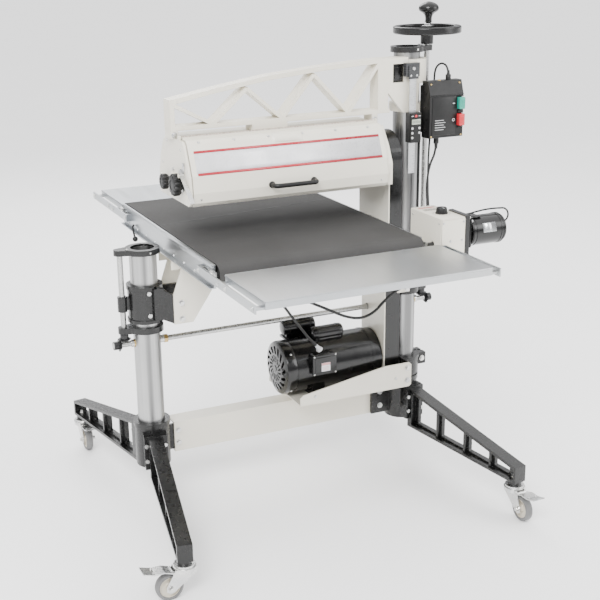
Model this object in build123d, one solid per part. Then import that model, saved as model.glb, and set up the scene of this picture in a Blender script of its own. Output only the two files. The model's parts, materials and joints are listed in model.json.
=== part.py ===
"""Open-end drum sander: two-column stand, lifting feed table and overhead drum head.

Millimetres, +Z up, floor at z = 0.  The feed runs along Y, the drum lies along X.
"""
import math
import os
from build123d import *

# ---------------------------------------------------------------- driving dimensions
MID_X = 8.0                 # puts the origin under the middle of the whole machine
COL_X = 427.5               # column axes at x = +-COL_X
COL_R, COL_BORE = 39.5, 34.5
LEFT_TOP, RIGHT_TOP = 807.0, 1321.0
SCREW_X, SCREW_R = 495.5, 8.0
SHAFT_Z = 529.0             # cross shaft between the two lifting screws
RUN = 0.05                  # running clearance on radius

STEM_X, STEM_Y = 516.0, 518.0
WHEEL_R, WHEEL_W, TRAIL = 38.0, 22.0, 44.0
PAD_Z, NUT_Z = 97.0, 118.0  # underside of the leg bosses, seat of the caster nuts

BELT_TOP, BELT_T = 853.0, 2.5
BELT_X0, BELT_X1 = -354.0, 243.0
ROLLER_R, ROLLER_Y = 25.0, 399.0
ROLLER_Z = BELT_TOP - BELT_T - ROLLER_R
BED_Z = 788.0               # top of the cross member under the bed
COLLAR_Z0, COLLAR_Z1 = 596.0, 706.0

HEAD_Y = -30.0              # drum and motor axes sit a little in front of the columns
DRUM_R, DRUM_Z = 63.5, 1007.5
DRUM_X0, DRUM_X1 = -302.0, 257.0
HOOD_X0, HOOD_X1 = -324.0, 277.0
HOOD_BOTTOM = 947.5
LATCH_Y, LATCH_Z = -118.0, 1030.0
PRESS_Y, PRESS_Z = (-118.0, 60.0), 957.0
HINGE_Y, HINGE_Z = -76.0, 1127.0
GUARD_X0, GUARD_X1 = 303.0, 353.0
PULLEY_X0, PULLEY_X1 = 320.0, 340.0
DRUM_PULLEY_R, MOTOR_PULLEY_R = 68.0, 44.0

MOTOR_Z, MOTOR_R = 386.0, 82.0
TRAY_Z = 296.0
WHEEL_Z, WHEEL_RIM = 1372.0, 93.0
KNOB_ANGLE = 56.4           # where the crank knob stands on the rim at rest

CONTROL_X0, CONTROL_X1 = 286.0, 362.0
CONTROL_Y0, CONTROL_Y1 = -443.0, -277.0
CONTROL_Z0, CONTROL_Z1 = 766.0, 904.0
DIAL_X, DIAL_Y = 326.0, -377.0
FEED_MOTOR_Z = 851.0

PORT_Y, PORT_Z = 92.5, 1035.0
PORT_TILT = math.degrees(math.atan2(50, 17))    # square to the rear sheet there
PORT_R, PORT_BORE, PORT_LENGTH = 50.8, 48.5, 48.0

PARTS = {}


# ---------------------------------------------------------------- shape helpers
def box(x0, x1, y0, y1, z0, z1):
    (x0, x1), (y0, y1), (z0, z1) = sorted((x0, x1)), sorted((y0, y1)), sorted((z0, z1))
    return Pos((x0 + x1) / 2, (y0 + y1) / 2, (z0 + z1) / 2) * Box(x1 - x0, y1 - y0, z1 - z0)


def rod(axis, a, b, r, lo, hi):
    """Cylinder along an axis; a, b are the two other coordinates in x, y, z order."""
    length, mid = hi - lo, (hi + lo) / 2
    if axis == "x":
        return Pos(mid, a, b) * Rot(0, 90, 0) * Cylinder(r, length)
    if axis == "y":
        return Pos(a, mid, b) * Rot(90, 0, 0) * Cylinder(r, length)
    return Pos(a, b, mid) * Cylinder(r, length)


def pipe(axis, a, b, r_out, r_in, lo, hi):
    return rod(axis, a, b, r_out, lo, hi) - rod(axis, a, b, r_in, lo - 1, hi + 1)


def plate_xz(points, y0, y1):
    plane = Plane((0, y1, 0), x_dir=(1, 0, 0), z_dir=(0, -1, 0))
    return extrude(plane * make_face(Polyline(*points, close=True)), amount=y1 - y0)


def plate_yz(points, x0, x1):
    plane = Plane((x0, 0, 0), x_dir=(0, 1, 0), z_dir=(1, 0, 0))
    return extrude(plane * make_face(Polyline(*points, close=True)), amount=x1 - x0)


def plate_xy(points, z0, z1):
    return extrude(Plane((0, 0, z0)) * make_face(Polyline(*points, close=True)), amount=z1 - z0)


def mirror_x(shape):
    return mirror(shape, about=Plane.YZ)


def group(shapes):
    return Compound(children=list(shapes))


def arc_points(cx, cy, r, a0, a1, n):
    steps = [math.radians(a0 + (a1 - a0) * i / n) for i in range(n + 1)]
    return [(cx + r * math.cos(a), cy + r * math.sin(a)) for a in steps]


def thick_line(points, t):
    """Closed outline of a sheet of thickness t that runs along an open list of points."""
    def offset(side):
        out = []
        for i, (px, py) in enumerate(points):
            normals = []
            for j in (i - 1, i):
                if 0 <= j < len(points) - 1:
                    dx, dy = points[j + 1][0] - points[j][0], points[j + 1][1] - points[j][1]
                    d = math.hypot(dx, dy)
                    normals.append((-dy / d, dx / d))
            nx = sum(n[0] for n in normals) / len(normals)
            ny = sum(n[1] for n in normals) / len(normals)
            k = side / (nx * nx + ny * ny)
            out.append((px + nx * k, py + ny * k))
        return out
    return offset(0) + offset(t)[::-1]


def hex_bolt(x, y, z, direction, r=6.5, h=5.0):
    """Bolt head with a thin washer whose seat is at the point, pointing along direction."""
    washer = Pos(0, 0, 0.75) * Cylinder(r + 2.5, 1.5)
    head = Pos(0, 0, 1.5 + h / 2) * extrude(RegularPolygon(r, 6), amount=h / 2, both=True)
    turn = {"-y": Rot(90, 0, 0), "+y": Rot(-90, 0, 0), "-x": Rot(0, -90, 0),
            "+x": Rot(0, 90, 0), "+z": Rot(0, 0, 0), "-z": Rot(180, 0, 0)}[direction]
    return Pos(x, y, z) * turn * (washer + head)


def cap_screw(x, y, z, direction, r=5.0, h=5.0):
    body = Pos(0, 0, h / 2) * Cylinder(r, h)
    body -= Pos(0, 0, h) * extrude(RegularPolygon(r * 0.5, 6), amount=h * 0.5, both=True)
    turn = {"-y": Rot(90, 0, 0), "+y": Rot(-90, 0, 0), "-x": Rot(0, -90, 0),
            "+x": Rot(0, 90, 0), "+z": Rot(0, 0, 0), "-z": Rot(180, 0, 0)}[direction]
    return Pos(x, y, z) * turn * body


# ---------------------------------------------------------------- stand
def socket(side):
    """Black casting that clamps a column, with pads for two legs and a flange for the beam."""
    body = pipe("z", 0, 0, 52, COL_R, 152, 284) + pipe("z", 0, 0, 52, 33, 144, 152)
    body += pipe("z", 0, 0, 55, COL_R, 270, 284)
    for front in (-1, 1):
        angle = math.degrees(math.atan2(front * STEM_Y, -(STEM_X - COL_X)))
        body += Rot(0, 0, angle) * (box(40, 62, -34, 34, 150, 258) - rod("z", 0, 0, 45, 100, 300))
    if side < 0:
        body += box(40, 115, 3, 13, 169, 249)
    else:
        body = mirror_x(body + box(40, 115, -13, -3, 161, 257))
    body -= rod("z", 0, 0, COL_R, 152, 300)
    return Pos(side * COL_X, 0, 0) * body


def leg(side, front):
    """Windowed I-section leg; local x runs outwards from the column."""
    reach = math.hypot(STEM_X - COL_X, STEM_Y)
    root, tip = 72.0, reach + 21.0
    z_top = lambda u: 250 + (158 - 250) * (u - root) / (tip - root)
    z_bot = lambda u: 120 + (108 - 120) * (u - root) / (tip - root)
    outline = [(root, z_bot(root)), (tip, z_bot(tip)), (tip, z_top(tip)), (root, z_top(root))]
    body = plate_xz(outline, -21, 21)
    flange, web = 9.0, 4.5
    for hand in (-1, 1):
        lo, hi = root + 10, tip - 9
        pocket = [(lo, z_bot(lo) + flange), (hi, z_bot(hi) + flange),
                  (hi, z_top(hi) - flange), (lo, z_top(lo) - flange)]
        y0, y1 = (web, 30) if hand > 0 else (-30, -web)
        body -= plate_xz(pocket, y0, y1)
    cuts = [(root + 26, root + 116), (root + 138, root + 240),
            (root + 262, root + 352), (root + 374, root + 436)]
    for u0, u1 in cuts:
        pts = [(u0, z_bot(u0) + 16), (u1, z_bot(u1) + 14),
               (u1, z_top(u1) - 16), (u0, z_top(u0) - 17)]
        window = plate_xz(pts, -10, 10)
        body -= fillet(window.edges().filter_by(Axis.Y), 7)
    for u0, u1 in zip([c[1] for c in cuts[:-1]], [c[0] for c in cuts[1:]]):
        um = (u0 + u1) / 2
        body += plate_xz([(um - 4, z_bot(um) + 5), (um + 4, z_bot(um) + 5),
                          (um + 4, z_top(um) - 5), (um - 4, z_top(um) - 5)], -15, 15)
    body += box(62, root, -34, 34, 150, 256)
    body += box(62, root + 3, -21, 21, z_bot(root), 160)
    body += rod("z", reach, 0, 20, PAD_Z, z_bot(reach) + 5)
    body -= rod("z", reach, 0, 6, PAD_Z - 1, 130) + rod("z", reach, 0, 13, NUT_Z, 132)
    angle = math.degrees(math.atan2(front * STEM_Y, side * (STEM_X - COL_X)))
    return Pos(side * COL_X, 0, 0) * Rot(0, 0, angle) * body


def leg_bolts():
    bolts = []
    for side in (-1, 1):
        for front in (-1, 1):
            angle = math.degrees(math.atan2(front * STEM_Y, side * (STEM_X - COL_X)))
            for v in (-27.6, 27.6):
                for z in (178, 226):
                    one = rod("x", v, z, 6, 72, 77)
                    bolts.append(Pos(side * COL_X, 0, 0) * Rot(0, 0, angle) * one)
    return bolts


def beam():
    body = box(-359, 359, -3, 3, 161, 257)
    body += box(-359, 359, 3, 57, 251, 257) + box(-359, 359, 3, 57, 161, 167)
    return body


def beam_bolts():
    bolts = [hex_bolt(-346, -3, z, "-y") for z in (190, 230)]
    bolts += [hex_bolt(343, -13, z, "-y") for z in (186, 234)]
    return bolts


def caster(x, y, heading):
    """Returns stem, fork, wheel and pedal; heading is the side the wheel trails to."""
    stem = rod("z", 0, 0, 28, 91, PAD_Z) + rod("z", 0, 0, 6, PAD_Z, NUT_Z + 10)
    stem += Pos(0, 0, NUT_Z + 1.6) * extrude(RegularPolygon(10, 6), amount=6.4)
    stem += rod("z", 0, 0, 12, NUT_Z, NUT_Z + 1.6)
    fork = rod("z", 0, 0, 29, 78, 91 - RUN)
    side_plate = [(27, 88), (27, 74), (-34, 27), (-46, 24),
                  (-56, 31), (-56, 44), (-44, 64), (-30, 88)]
    for hand in (-1, 1):
        y0, y1 = (14, 17.5) if hand > 0 else (-17.5, -14)
        fork += plate_xz(side_plate, y0, y1)
    fork += rod("y", -TRAIL, WHEEL_R, 5, -20, 20)
    fork += rod("y", -TRAIL, WHEEL_R, 8, -20, -17.5) + rod("y", -TRAIL, WHEEL_R, 8, 17.5, 20)
    wheel = rod("y", -TRAIL, WHEEL_R, WHEEL_R, -WHEEL_W / 2, WHEEL_W / 2)
    wheel -= rod("y", -TRAIL, WHEEL_R, 28, -12, -7) + rod("y", -TRAIL, WHEEL_R, 28, 7, 12)
    wheel += rod("y", -TRAIL, WHEEL_R, 11, -13.5, 13.5)
    wheel -= rod("y", -TRAIL, WHEEL_R, 5 + RUN, -15, 15)
    top = [(-33, 83), (-60, 92), (-86, 92), (-104, 97), (-117, 101)]
    pedal = plate_xz(thick_line(top, 3.0), -20, 20)
    pedal += plate_xz([(-33, 83), (-60, 92), (-60, 86), (-48, 84)], -12, 12)
    pedal += rod("y", -38, 84, 4, -13.5, 13.5)
    pedal -= fork
    turn = Pos(x, y, 0) * Rot(0, 0, heading)
    return [turn * s for s in (stem, fork, wheel, pedal)]


def add_stand():
    for name, side, top in (("left", -1, LEFT_TOP), ("right", 1, RIGHT_TOP)):
        tube = pipe("z", side * COL_X, 0, COL_R, COL_BORE, 152, top)
        tube -= rod("x", 0, SHAFT_Z, 11, side * COL_X - 60, side * COL_X + 60)
        PARTS["column_" + name] = tube
        PARTS["socket_" + name] = socket(side)
    PARTS["cross_beam"] = beam()
    PARTS["beam_bolts"] = group(beam_bolts())
    for code, side, front in (("fl", -1, -1), ("rl", -1, 1), ("fr", 1, -1), ("rr", 1, 1)):
        PARTS["leg_" + code] = leg(side, front)
    PARTS["leg_bolts"] = group(leg_bolts())
    stems = []
    for code, side, front, heading in (("fl", -1, -1, 0), ("rl", -1, 1, 90),
                                       ("fr", 1, -1, 90), ("rr", 1, 1, 90)):
        stem, fork, wheel, pedal = caster(side * STEM_X, front * STEM_Y, heading)
        stems.append(stem)
        PARTS["fork_" + code] = fork
        PARTS["wheel_" + code] = wheel
        PARTS["pedal_" + code] = pedal
    PARTS["caster_stems"] = group(stems)


# ---------------------------------------------------------------- lifting gear
def eared_ring(side, z0, z1, lip, through):
    ring = rod("z", 0, 0, 50, z0, z1)
    ear = plate_xy([(-20, -40), (68, -17), (68, 17), (-20, 40)], z0, z1) + rod("z", 68, 0, 17, z0, z1)
    body = ring + ear
    body -= rod("z", 0, 0, COL_R, z0 - 1, z1 + 1 if not lip else z1 - lip)
    if lip:
        body -= rod("z", 0, 0, COL_BORE, z0, z1 + 1)
    body -= rod("z", 68, 0, SCREW_R + RUN, z0 - 1, z1 + 1 if through else z1 - 5)
    if side < 0:
        body = mirror_x(body)
    return Pos(side * COL_X, 0, 0) * body


def miter_gear():
    """Eighteen-tooth miter gear, axis +Z, cone apex at the origin below the teeth."""
    teeth, back, front = 18, 18.0, 10.5
    pitch = 2 * math.pi / teeth
    half = [(15.9, -0.34), (19.4, -0.125), (19.4, 0.125), (15.9, 0.34)]
    pts = []
    for k in range(teeth):
        for r, f in half:
            a = k * pitch + f * pitch
            pts.append((r * math.cos(a), r * math.sin(a)))
    big = Plane((0, 0, back)) * make_face(Polyline(*pts, close=True))
    scale_f = front / back
    inner = [(x * scale_f, y * scale_f) for x, y in pts]
    small = Plane((0, 0, front)) * make_face(Polyline(*inner, close=True))
    return loft([small.face(), big.face()], ruled=True)


def lift_gears():
    screw_gears, shaft_gears = [], []
    for side in (-1, 1):
        x = side * SCREW_X
        gear = miter_gear() + rod("z", 0, 0, 12.5, 18, 32)
        gear -= rod("z", 0, 0, SCREW_R, 11.5, 40)
        screw_gears.append(Pos(x, 0, SHAFT_Z) * Rot(0, 0, 0 if side > 0 else 180) * gear)
        blank = miter_gear() + rod("z", 0, 0, 12.5, 18, 34)
        blank = Rot(0, 0, 10) * blank
        blank -= rod("z", 0, 0, SCREW_R, 0, 40)
        shaft_gears.append(Pos(x, 0, SHAFT_Z) * Rot(0, 90 * side, 0) * blank)
    return screw_gears, shaft_gears


def handwheel():
    """Three-spoke wheel with a long hub, and the mushroom knob that spins on its pin."""
    x, z = SCREW_X, WHEEL_Z
    rim = pipe("z", x, 0, WHEEL_RIM + 9, WHEEL_RIM - 8, z - 11, z + 11)
    wheel = fillet(rim.edges().filter_by(GeomType.CIRCLE), 5)
    wheel += rod("z", x, 0, 19, z - 42, z + 10)
    for k in range(3):
        spoke = Pos(WHEEL_RIM / 2 + 4, 0, 0) * Rot(0, 90, 0) * Cylinder(7, WHEEL_RIM - 16)
        wheel += Pos(x, 0, z - 3) * Rot(0, 0, KNOB_ANGLE + 120 * k) * spoke
    kx = x + WHEEL_RIM * math.cos(math.radians(KNOB_ANGLE))
    ky = WHEEL_RIM * math.sin(math.radians(KNOB_ANGLE))
    wheel += rod("z", kx, ky, 8, z - 8, z + 14)
    wheel -= rod("z", x, 0, SCREW_R, z - 50, z + 4)
    wheel += rod("z", kx, ky, 5, z + 14, z + 50)
    profile = [(5 + RUN, 0), (11, 0), (10, 12), (14, 26), (28, 34), (31, 42), (27, 52), (16, 59),
               (0, 62.5), (0, 38), (5 + RUN, 38)]
    face = make_face(Polyline(*[(r, 0, h) for r, h in profile], close=True))
    knob = Pos(kx, ky, z + 14 + RUN) * revolve(face, Axis.Z)
    return wheel, knob


def add_lift():
    PARTS["column_cap_left"] = eared_ring(-1, LEFT_TOP - 10, LEFT_TOP + 6, 6, False)
    PARTS["column_cap_right"] = eared_ring(1, RIGHT_TOP - 10, RIGHT_TOP + 6, 6, True)
    PARTS["lower_ring_left"] = eared_ring(-1, 564, 582, 0, True)
    PARTS["lower_ring_right"] = eared_ring(1, 564, 582, 0, True)
    bushes = []
    for side in (-1, 1):
        for inner in (-1, 1):
            lo, hi = sorted((side * COL_X + inner * 33, side * COL_X + inner * 50))
            bushes.append(pipe("x", 0, SHAFT_Z, 11, SCREW_R + RUN, lo, hi))
    PARTS["shaft_bushes"] = group(bushes)
    PARTS["cross_shaft"] = rod("x", 0, SHAFT_Z, SCREW_R, -SCREW_X - 33, SCREW_X + 33)
    screw_gears, shaft_gears = lift_gears()
    PARTS["shaft_gears"] = group(shaft_gears)
    PARTS["screw_gear_left"], PARTS["screw_gear_right"] = screw_gears
    PARTS["screw_left"] = rod("z", -SCREW_X, 0, SCREW_R, SHAFT_Z + 11.5, LEFT_TOP)
    PARTS["screw_right"] = rod("z", SCREW_X, 0, SCREW_R, SHAFT_Z + 11.5, WHEEL_Z + 4)
    PARTS["handwheel"], PARTS["crank_knob"] = handwheel()


# ---------------------------------------------------------------- feed table
def collar_core():
    body = rod("z", 0, 0, 50, COLLAR_Z0, COLLAR_Z1) + rod("z", 0, 0, 53, COLLAR_Z1 - 12, COLLAR_Z1)
    body += rod("z", 0, 0, 53, COLLAR_Z0, COLLAR_Z0 + 10)
    body += box(40, 68, -9, 9, 634, 670) + rod("z", 68, 0, 14, 630, 674)
    return body


def collar_left():
    body = mirror_x(collar_core())
    arm = [(20, 706), (66, 677), (116, 677), (116, 590), (66, 590), (34, 606), (20, 606)]
    body += plate_xz(arm, -58, 58) - box(52, 130, -46, 46, 570, 700)
    for y in (-52, 52):
        body += box(10, 40, y - 6, y + 6, 606, 700)
    body -= rod("z", 0, 0, COL_R + RUN, 500, 800)
    body -= rod("z", -68, 0, SCREW_R + RUN, 600, 700)
    return Pos(-COL_X, 0, 0) * body


def collar_right():
    body = collar_core()
    body += box(-67, -55, -134, 58, COLLAR_Z0 + 4, COLLAR_Z1)
    body += box(-60, -30, -44, -30, COLLAR_Z0 + 10, COLLAR_Z1 - 6)
    body += box(-60, -30, 30, 44, COLLAR_Z0 + 10, COLLAR_Z1 - 6)
    body += plate_xy([(-60, -110), (-55, -110), (-10, -48), (-40, -30), (-60, -40)], 640, 668)
    body -= rod("z", 0, 0, COL_R + RUN, 500, 800)
    body -= rod("z", 68, 0, SCREW_R + RUN, 600, 700)
    return Pos(COL_X, 0, 0) * body


def bracket_plates():
    left = [(-361, 588), (-304, 588), (-176, 774), (-176, BED_Z), (-322, BED_Z), (-361, 676)]
    plates = [plate_xz(left, -62, -58), plate_xz(left, 58, 62)]
    right_rear = [(372, 604), (318, 604), (190, 774), (190, BED_Z), (300, BED_Z), (372, 690)]
    plates.append(plate_xz(right_rear, 58, 62))
    front = [(372, 606), (330, 606), (246, 744), (246, BED_Z), (262, BED_Z), (372, 690)]
    plates.append(plate_xz(front, -138, -134))
    return plates


def bed_support():
    """Box-section cross member under the bed with side ledges for the rails."""
    body = box(-362, 246, -58, 58, 750, BED_Z) - box(-359, 243, -54, 54, 740, 784)
    body -= box(-400, -340, -54, 54, 740, 784)
    body += box(246, 252, -134, 62, 752, BED_Z)
    for y in (-330, 330):
        body += box(-362, 252, y - 18, y + 18, 778, BED_Z)
    for y0, y1 in ((-330, -58), (58, 330)):
        body += box(-362, -352, y0, y1, 778, BED_Z) + box(242, 252, y0, y1, 778, BED_Z)
    for plate in bracket_plates():
        body -= plate
    return body


def bed_pan():
    """Slider bed inside the conveyor belt: top sheet with turned-down edges and ribs."""
    z1 = BELT_TOP - BELT_T - 0.1
    body = box(-356, 245, -366, 366, z1 - 3, z1)
    for y in (-364, -190, 0, 190, 364):
        body += box(-356, 245, y - 2, y + 2, 804, z1 - 3)
    return body


def side_rails():
    """Rails with the bars that carry the extension tables, one solid per side."""
    rails = []
    for x0, x1, lip in ((-362, -356, -1), (245, 251, 1)):
        rail = box(x0, x1, -400, 400, BED_Z, 851)
        edge = x0 if lip < 0 else x1
        rail += box(edge, edge + 10 * lip, -400, 400, BED_Z, 791)
        for y in (-ROLLER_Y, ROLLER_Y):
            rail -= box(x0 - 1, x1 + 1, y - 12, y + 12, ROLLER_Z - 9, ROLLER_Z + 9)
            rail -= box(x0 - 1, x1 + 1, min(y, 1.1 * y), max(y, 1.1 * y), ROLLER_Z - 9, ROLLER_Z + 9)
        for bar in extension_bars(lip):
            rail += bar
        rails.append(rail)
    return rails


def takeups():
    """Bearing blocks and tension screws at the four roller ends."""
    out = []
    for x0, x1, s in ((-371, -357, -1), (246, 260, 1)):
        for f in (-1, 1):
            y = f * ROLLER_Y
            block = box(x0, x1, y - 11, y + 11, ROLLER_Z - 8.5, ROLLER_Z + 8.5)
            outer = x0 if s < 0 else x1
            block += box(outer, outer - 8 * s, y - 17, y + 17, ROLLER_Z - 14, ROLLER_Z + 14)
            block -= rod("x", y, ROLLER_Z, 7 + RUN, -400, 300)
            xs = outer - 4 * s
            screw_lo, screw_hi = sorted((y - f * 17, y - f * 62))
            block += rod("y", xs, ROLLER_Z, 3.5, screw_lo, screw_hi)
            lug_lo, lug_hi = sorted((y - f * 46, y - f * 51))
            lug_x = (x0, -362) if s < 0 else (251, x1)
            block += box(*lug_x, lug_lo, lug_hi, ROLLER_Z - 11, ROLLER_Z + 11)
            out.append(block)
    return out


def roller(y, drive):
    body = rod("x", y, ROLLER_Z, ROLLER_R - 0.15, BELT_X0 + 4, BELT_X1 - 4)
    return body + rod("x", y, ROLLER_Z, 7, -370, 358 if drive else 259)


def conveyor_belt():
    outer = ROLLER_R + BELT_T
    shape = box(BELT_X0, BELT_X1, -ROLLER_Y, ROLLER_Y, ROLLER_Z - outer, ROLLER_Z + outer)
    inner = box(BELT_X0 - 1, BELT_X1 + 1, -ROLLER_Y, ROLLER_Y,
                ROLLER_Z - ROLLER_R, ROLLER_Z + ROLLER_R)
    for y in (-ROLLER_Y, ROLLER_Y):
        shape += rod("x", y, ROLLER_Z, outer, BELT_X0, BELT_X1)
        inner += rod("x", y, ROLLER_Z, ROLLER_R, BELT_X0 - 1, BELT_X1 + 1)
    return shape - inner


def extension_table(f):
    x0, x1, z = -350.0, 274.0, 838.0
    y0, y1 = sorted((f * 450.0, f * 703.0))
    body = box(x0, x1, y0, y1, z - 2, z)
    body += box(x0, x0 + 2, y0, y1, z - 20, z - 2) + box(x1 - 2, x1, y0, y1, z - 20, z - 2)
    for y in (y0, y1 - 2):
        body += box(x0 + 2, x1 - 2, y, y + 2, z - 20, z - 2)
    return body


def extension_bars(side):
    """Flat bars outside each extension table, with the tabs that hold it."""
    bars = []
    for f in (-1, 1):
        if side < 0:
            bar = box(-378, -374, f * 318, f * 706, 812, 834)
            bar += box(-374, -362, f * 318, f * 332, 812, 834)
        else:
            bar = box(294, 298, f * 448, f * 706, 812, 834)
            bar += box(251, 294, f * 448, f * 452, 806, 817)
            bar += box(274, 294, f * 448, f * 452, 817, 834)
            bar += box(251, 256, f * 380, f * 452, 791, 806)
        for y in (f * 470, f * 690):
            tab = (-374, -350) if side < 0 else (274, 294)
            bar += box(*tab, y - 9, y + 9, 818, 824)
        bars.append(bar)
    return bars


def control_box():
    """Speed control box on the right of the bed, hollow, with the drive shaft through it."""
    x0, x1, wall = CONTROL_X0, CONTROL_X1, 2.5
    body = box(x0, x1, CONTROL_Y0, CONTROL_Y1, CONTROL_Z0, CONTROL_Z1)
    body = fillet(body.edges().filter_by(Axis.Z), 4)
    body -= box(x0 + wall, x1 - wall, CONTROL_Y0 + wall, CONTROL_Y1 - wall,
                CONTROL_Z0 + wall, CONTROL_Z1 - wall)
    body -= rod("x", -ROLLER_Y, ROLLER_Z, 9, x0 - 5, x0 + 5)
    body -= rod("x", -ROLLER_Y, ROLLER_Z, 20, x1 - 5, x1 + 5)
    body -= rod("z", DIAL_X, DIAL_Y, 4 + RUN, CONTROL_Z1 - 5, CONTROL_Z1 + 5)
    return body + box(251, x0, -380, -300, 792, 812)


def speed_knob():
    dial = rod("z", DIAL_X, DIAL_Y, 18, CONTROL_Z1 + RUN, CONTROL_Z1 + 18)
    return dial + rod("z", DIAL_X, DIAL_Y, 4, CONTROL_Z1 - 12, CONTROL_Z1 + 1)


def gearmotor():
    """Feed gear case and, above its output shaft, the round motor."""
    y, z = -ROLLER_Y, FEED_MOTOR_Z
    case_x, flange_x, bell_x = CONTROL_X1 + 14, CONTROL_X1 + 30, CONTROL_X1 + 134
    case = box(CONTROL_X1, case_x, y - 44, y + 44, 776, 908)
    case += rod("x", y, ROLLER_Z, 19.5, CONTROL_X1 - 8, CONTROL_X1)
    case += box(case_x, flange_x, y - 30, y + 30, z - 38, z + 38)
    motor = rod("x", y, z, 42, flange_x, bell_x) + rod("x", y, z, 38.5, bell_x, bell_x + 6)
    return case + motor - rod("x", y, ROLLER_Z, 7 + RUN, CONTROL_X1 - 10, CONTROL_X1 - 3)


def readout():
    """Fixed scale with its clamp, the reader that slides on it, and the reader's arm."""
    scale = box(397, 419, -72, -68, 957, 1245)
    clamp = box(384, 430, -72, -58, 1245, 1284) + box(384, 399, -58, -55, 1245, 1284)
    clamp += box(392, 424, -76, -72, 1238, 1276)
    reader = box(390, 428, -92, -64, 1052, 1140) - box(396.9, 419.1, -72.1, -67.9, 1040, 1150)
    reader = fillet(reader.edges().filter_by(Axis.Z).group_by(Axis.Y)[0], 4)
    arm = rod("z", 440, -60, 4, COLLAR_Z1, 1063) + box(424, 444, -64, -56, 1053, 1063)
    foot = box(432, 448, -66, -44, COLLAR_Z1, COLLAR_Z1 + 8)
    return scale + clamp, reader, arm + foot


def table_bolts():
    out = []
    for z in (602, 650):
        out.append(hex_bolt(-337, -62, z, "-y"))
        out.append(hex_bolt(-337, 62, z, "+y"))
        out.append(hex_bolt(358, 62, z + 12, "+y"))
        out.append(hex_bolt(362, -138, z + 14, "-y"))
    return out


def add_table():
    PARTS["table_collar_left"] = collar_left()
    PARTS["table_collar_right"] = collar_right()
    PARTS["bracket_plates"] = group(bracket_plates())
    PARTS["table_bolts"] = group(table_bolts())
    PARTS["bed_support"] = bed_support()
    PARTS["bed_pan"] = bed_pan()
    PARTS["side_rails"] = group(side_rails())
    PARTS["takeups"] = group(takeups())
    PARTS["drive_roller"] = roller(-ROLLER_Y, True)
    PARTS["idler_roller"] = roller(ROLLER_Y, False)
    PARTS["conveyor_belt"] = conveyor_belt()
    PARTS["infeed_table"] = extension_table(-1)
    PARTS["outfeed_table"] = extension_table(1)
    PARTS["control_box"] = control_box()
    PARTS["speed_knob"] = speed_knob()
    PARTS["feed_gearmotor"] = gearmotor()
    PARTS["readout_scale"], PARTS["readout_reader"], PARTS["readout_arm"] = readout()


# ---------------------------------------------------------------- drum head
def truss_arm():
    """Cast arm: curved top chord, straight bottom chord, six diagonals and the column hub."""
    y0, y1 = -55.0, -5.0
    top = [(-345, 1212), (-345, 1226), (-200, 1251), (-50, 1274), (120, 1290), (297, 1300),
           (400, 1300), (400, 1288), (297, 1287), (120, 1277), (-50, 1261), (-200, 1238),
           (-333, 1214)]
    body = plate_xz(top, y0, y1)
    body += box(-345, 340, y0, y1, 1142, 1154) + box(-345, -331, y0, y1, 1142, 1226)
    joints = [(-333, 1212), (-219, 1152), (-116, 1243), (-8, 1152), (92, 1268), (203, 1152),
              (306, 1290)]
    for (xa, za), (xb, zb) in zip(joints[:-1], joints[1:]):
        length = math.hypot(xb - xa, zb - za)
        nx, nz = -(zb - za) / length * 5, (xb - xa) / length * 5
        bar = [(xa + nx, za + nz), (xb + nx, zb + nz), (xb - nx, zb - nz), (xa - nx, za - nz)]
        body += plate_xz(bar, y0, y1)
    body += box(-102, 7, y0, y1, 1124, 1142) + box(300, 334, y0, y1, 1142, 1298)
    hub = rod("z", COL_X, 0, 58, 1222, 1292) + box(334, 400, y0, 30, 1222, 1292)
    hub += box(480, 482, -20, 20, 1226, 1288)
    hub += plate_xz([(334, 1225), (440, 1225), (434, 1138), (386, 1138), (334, 1200)], y0, y0 + 14)
    hub += rod("z", COL_X, 0, 52, 1138, 1162)
    hub += box(COL_X - 6, COL_X + 6, 44, 62, 1138, 1292)
    hub -= box(350, 389, y0 - 1, y0 + 24, 1228, 1282)
    return body + hub - rod("z", COL_X, 0, COL_R, 1100, 1400)


HOOD_FRONT = [(HINGE_Y - 4, 1124), (-110, 1122), (-121, 1113), (-137, 1080), (-158, 1031),
              (-165, 985), (-162, 958), (-150, 947)]
HOOD_REAR = [(HINGE_Y + 5, 1124), (30, 1124), (58, 1104), (84, 1060), (101, 1010), (105, 985),
             (102, 947)]


def port_frame(height):
    """Place on the axis of the dust port, a height above the rear sheet."""
    return Pos(-20, PORT_Y, PORT_Z) * Rot(-PORT_TILT, 0, 0) * Pos(0, 0, height)


def hood_shell():
    shell = plate_yz(thick_line(HOOD_REAR, -2.5), HOOD_X0, HOOD_X1)
    return shell - port_frame(0) * Cylinder(46, 16)


def dust_port():
    """Flange on the rear sheet with the straight collar that a hose is clamped on."""
    flange = port_frame(1.5) * Box(140, 112, 3)
    collar = port_frame(3 + PORT_LENGTH / 2) * Cylinder(PORT_R, PORT_LENGTH)
    return flange + collar - port_frame(20) * Cylinder(PORT_BORE, 80)


def hood_lid():
    lid = plate_yz(thick_line(HOOD_FRONT, 2.5), HOOD_X0 + 1.5, HOOD_X1 - 1.5)
    rim = [(-80, 1122), (-108, 1119), (-118, 1111), (-134, 1079), (-155, 1030), (-162, 985),
           (-159, 959), (-150, 950), (-146, 962), (-148, 985), (-142, 1026), (-122, 1073),
           (-108, 1101), (-80, 1108)]
    for x in (HOOD_X0 + 1.5, HOOD_X1 - 4.0):
        lid += plate_yz(rim, x, x + 2.5)
    lid += rod("x", HINGE_Y, HINGE_Z, 3.2, HOOD_X0 + 2, HOOD_X1 - 2)
    lid += box(HOOD_X0 + 2, HOOD_X1 - 2, HINGE_Y - 12, HINGE_Y - 1, 1121.8, 1127.5)
    return lid - rod("x", HINGE_Y, HINGE_Z, 1.5 + RUN, -400, 400)


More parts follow.
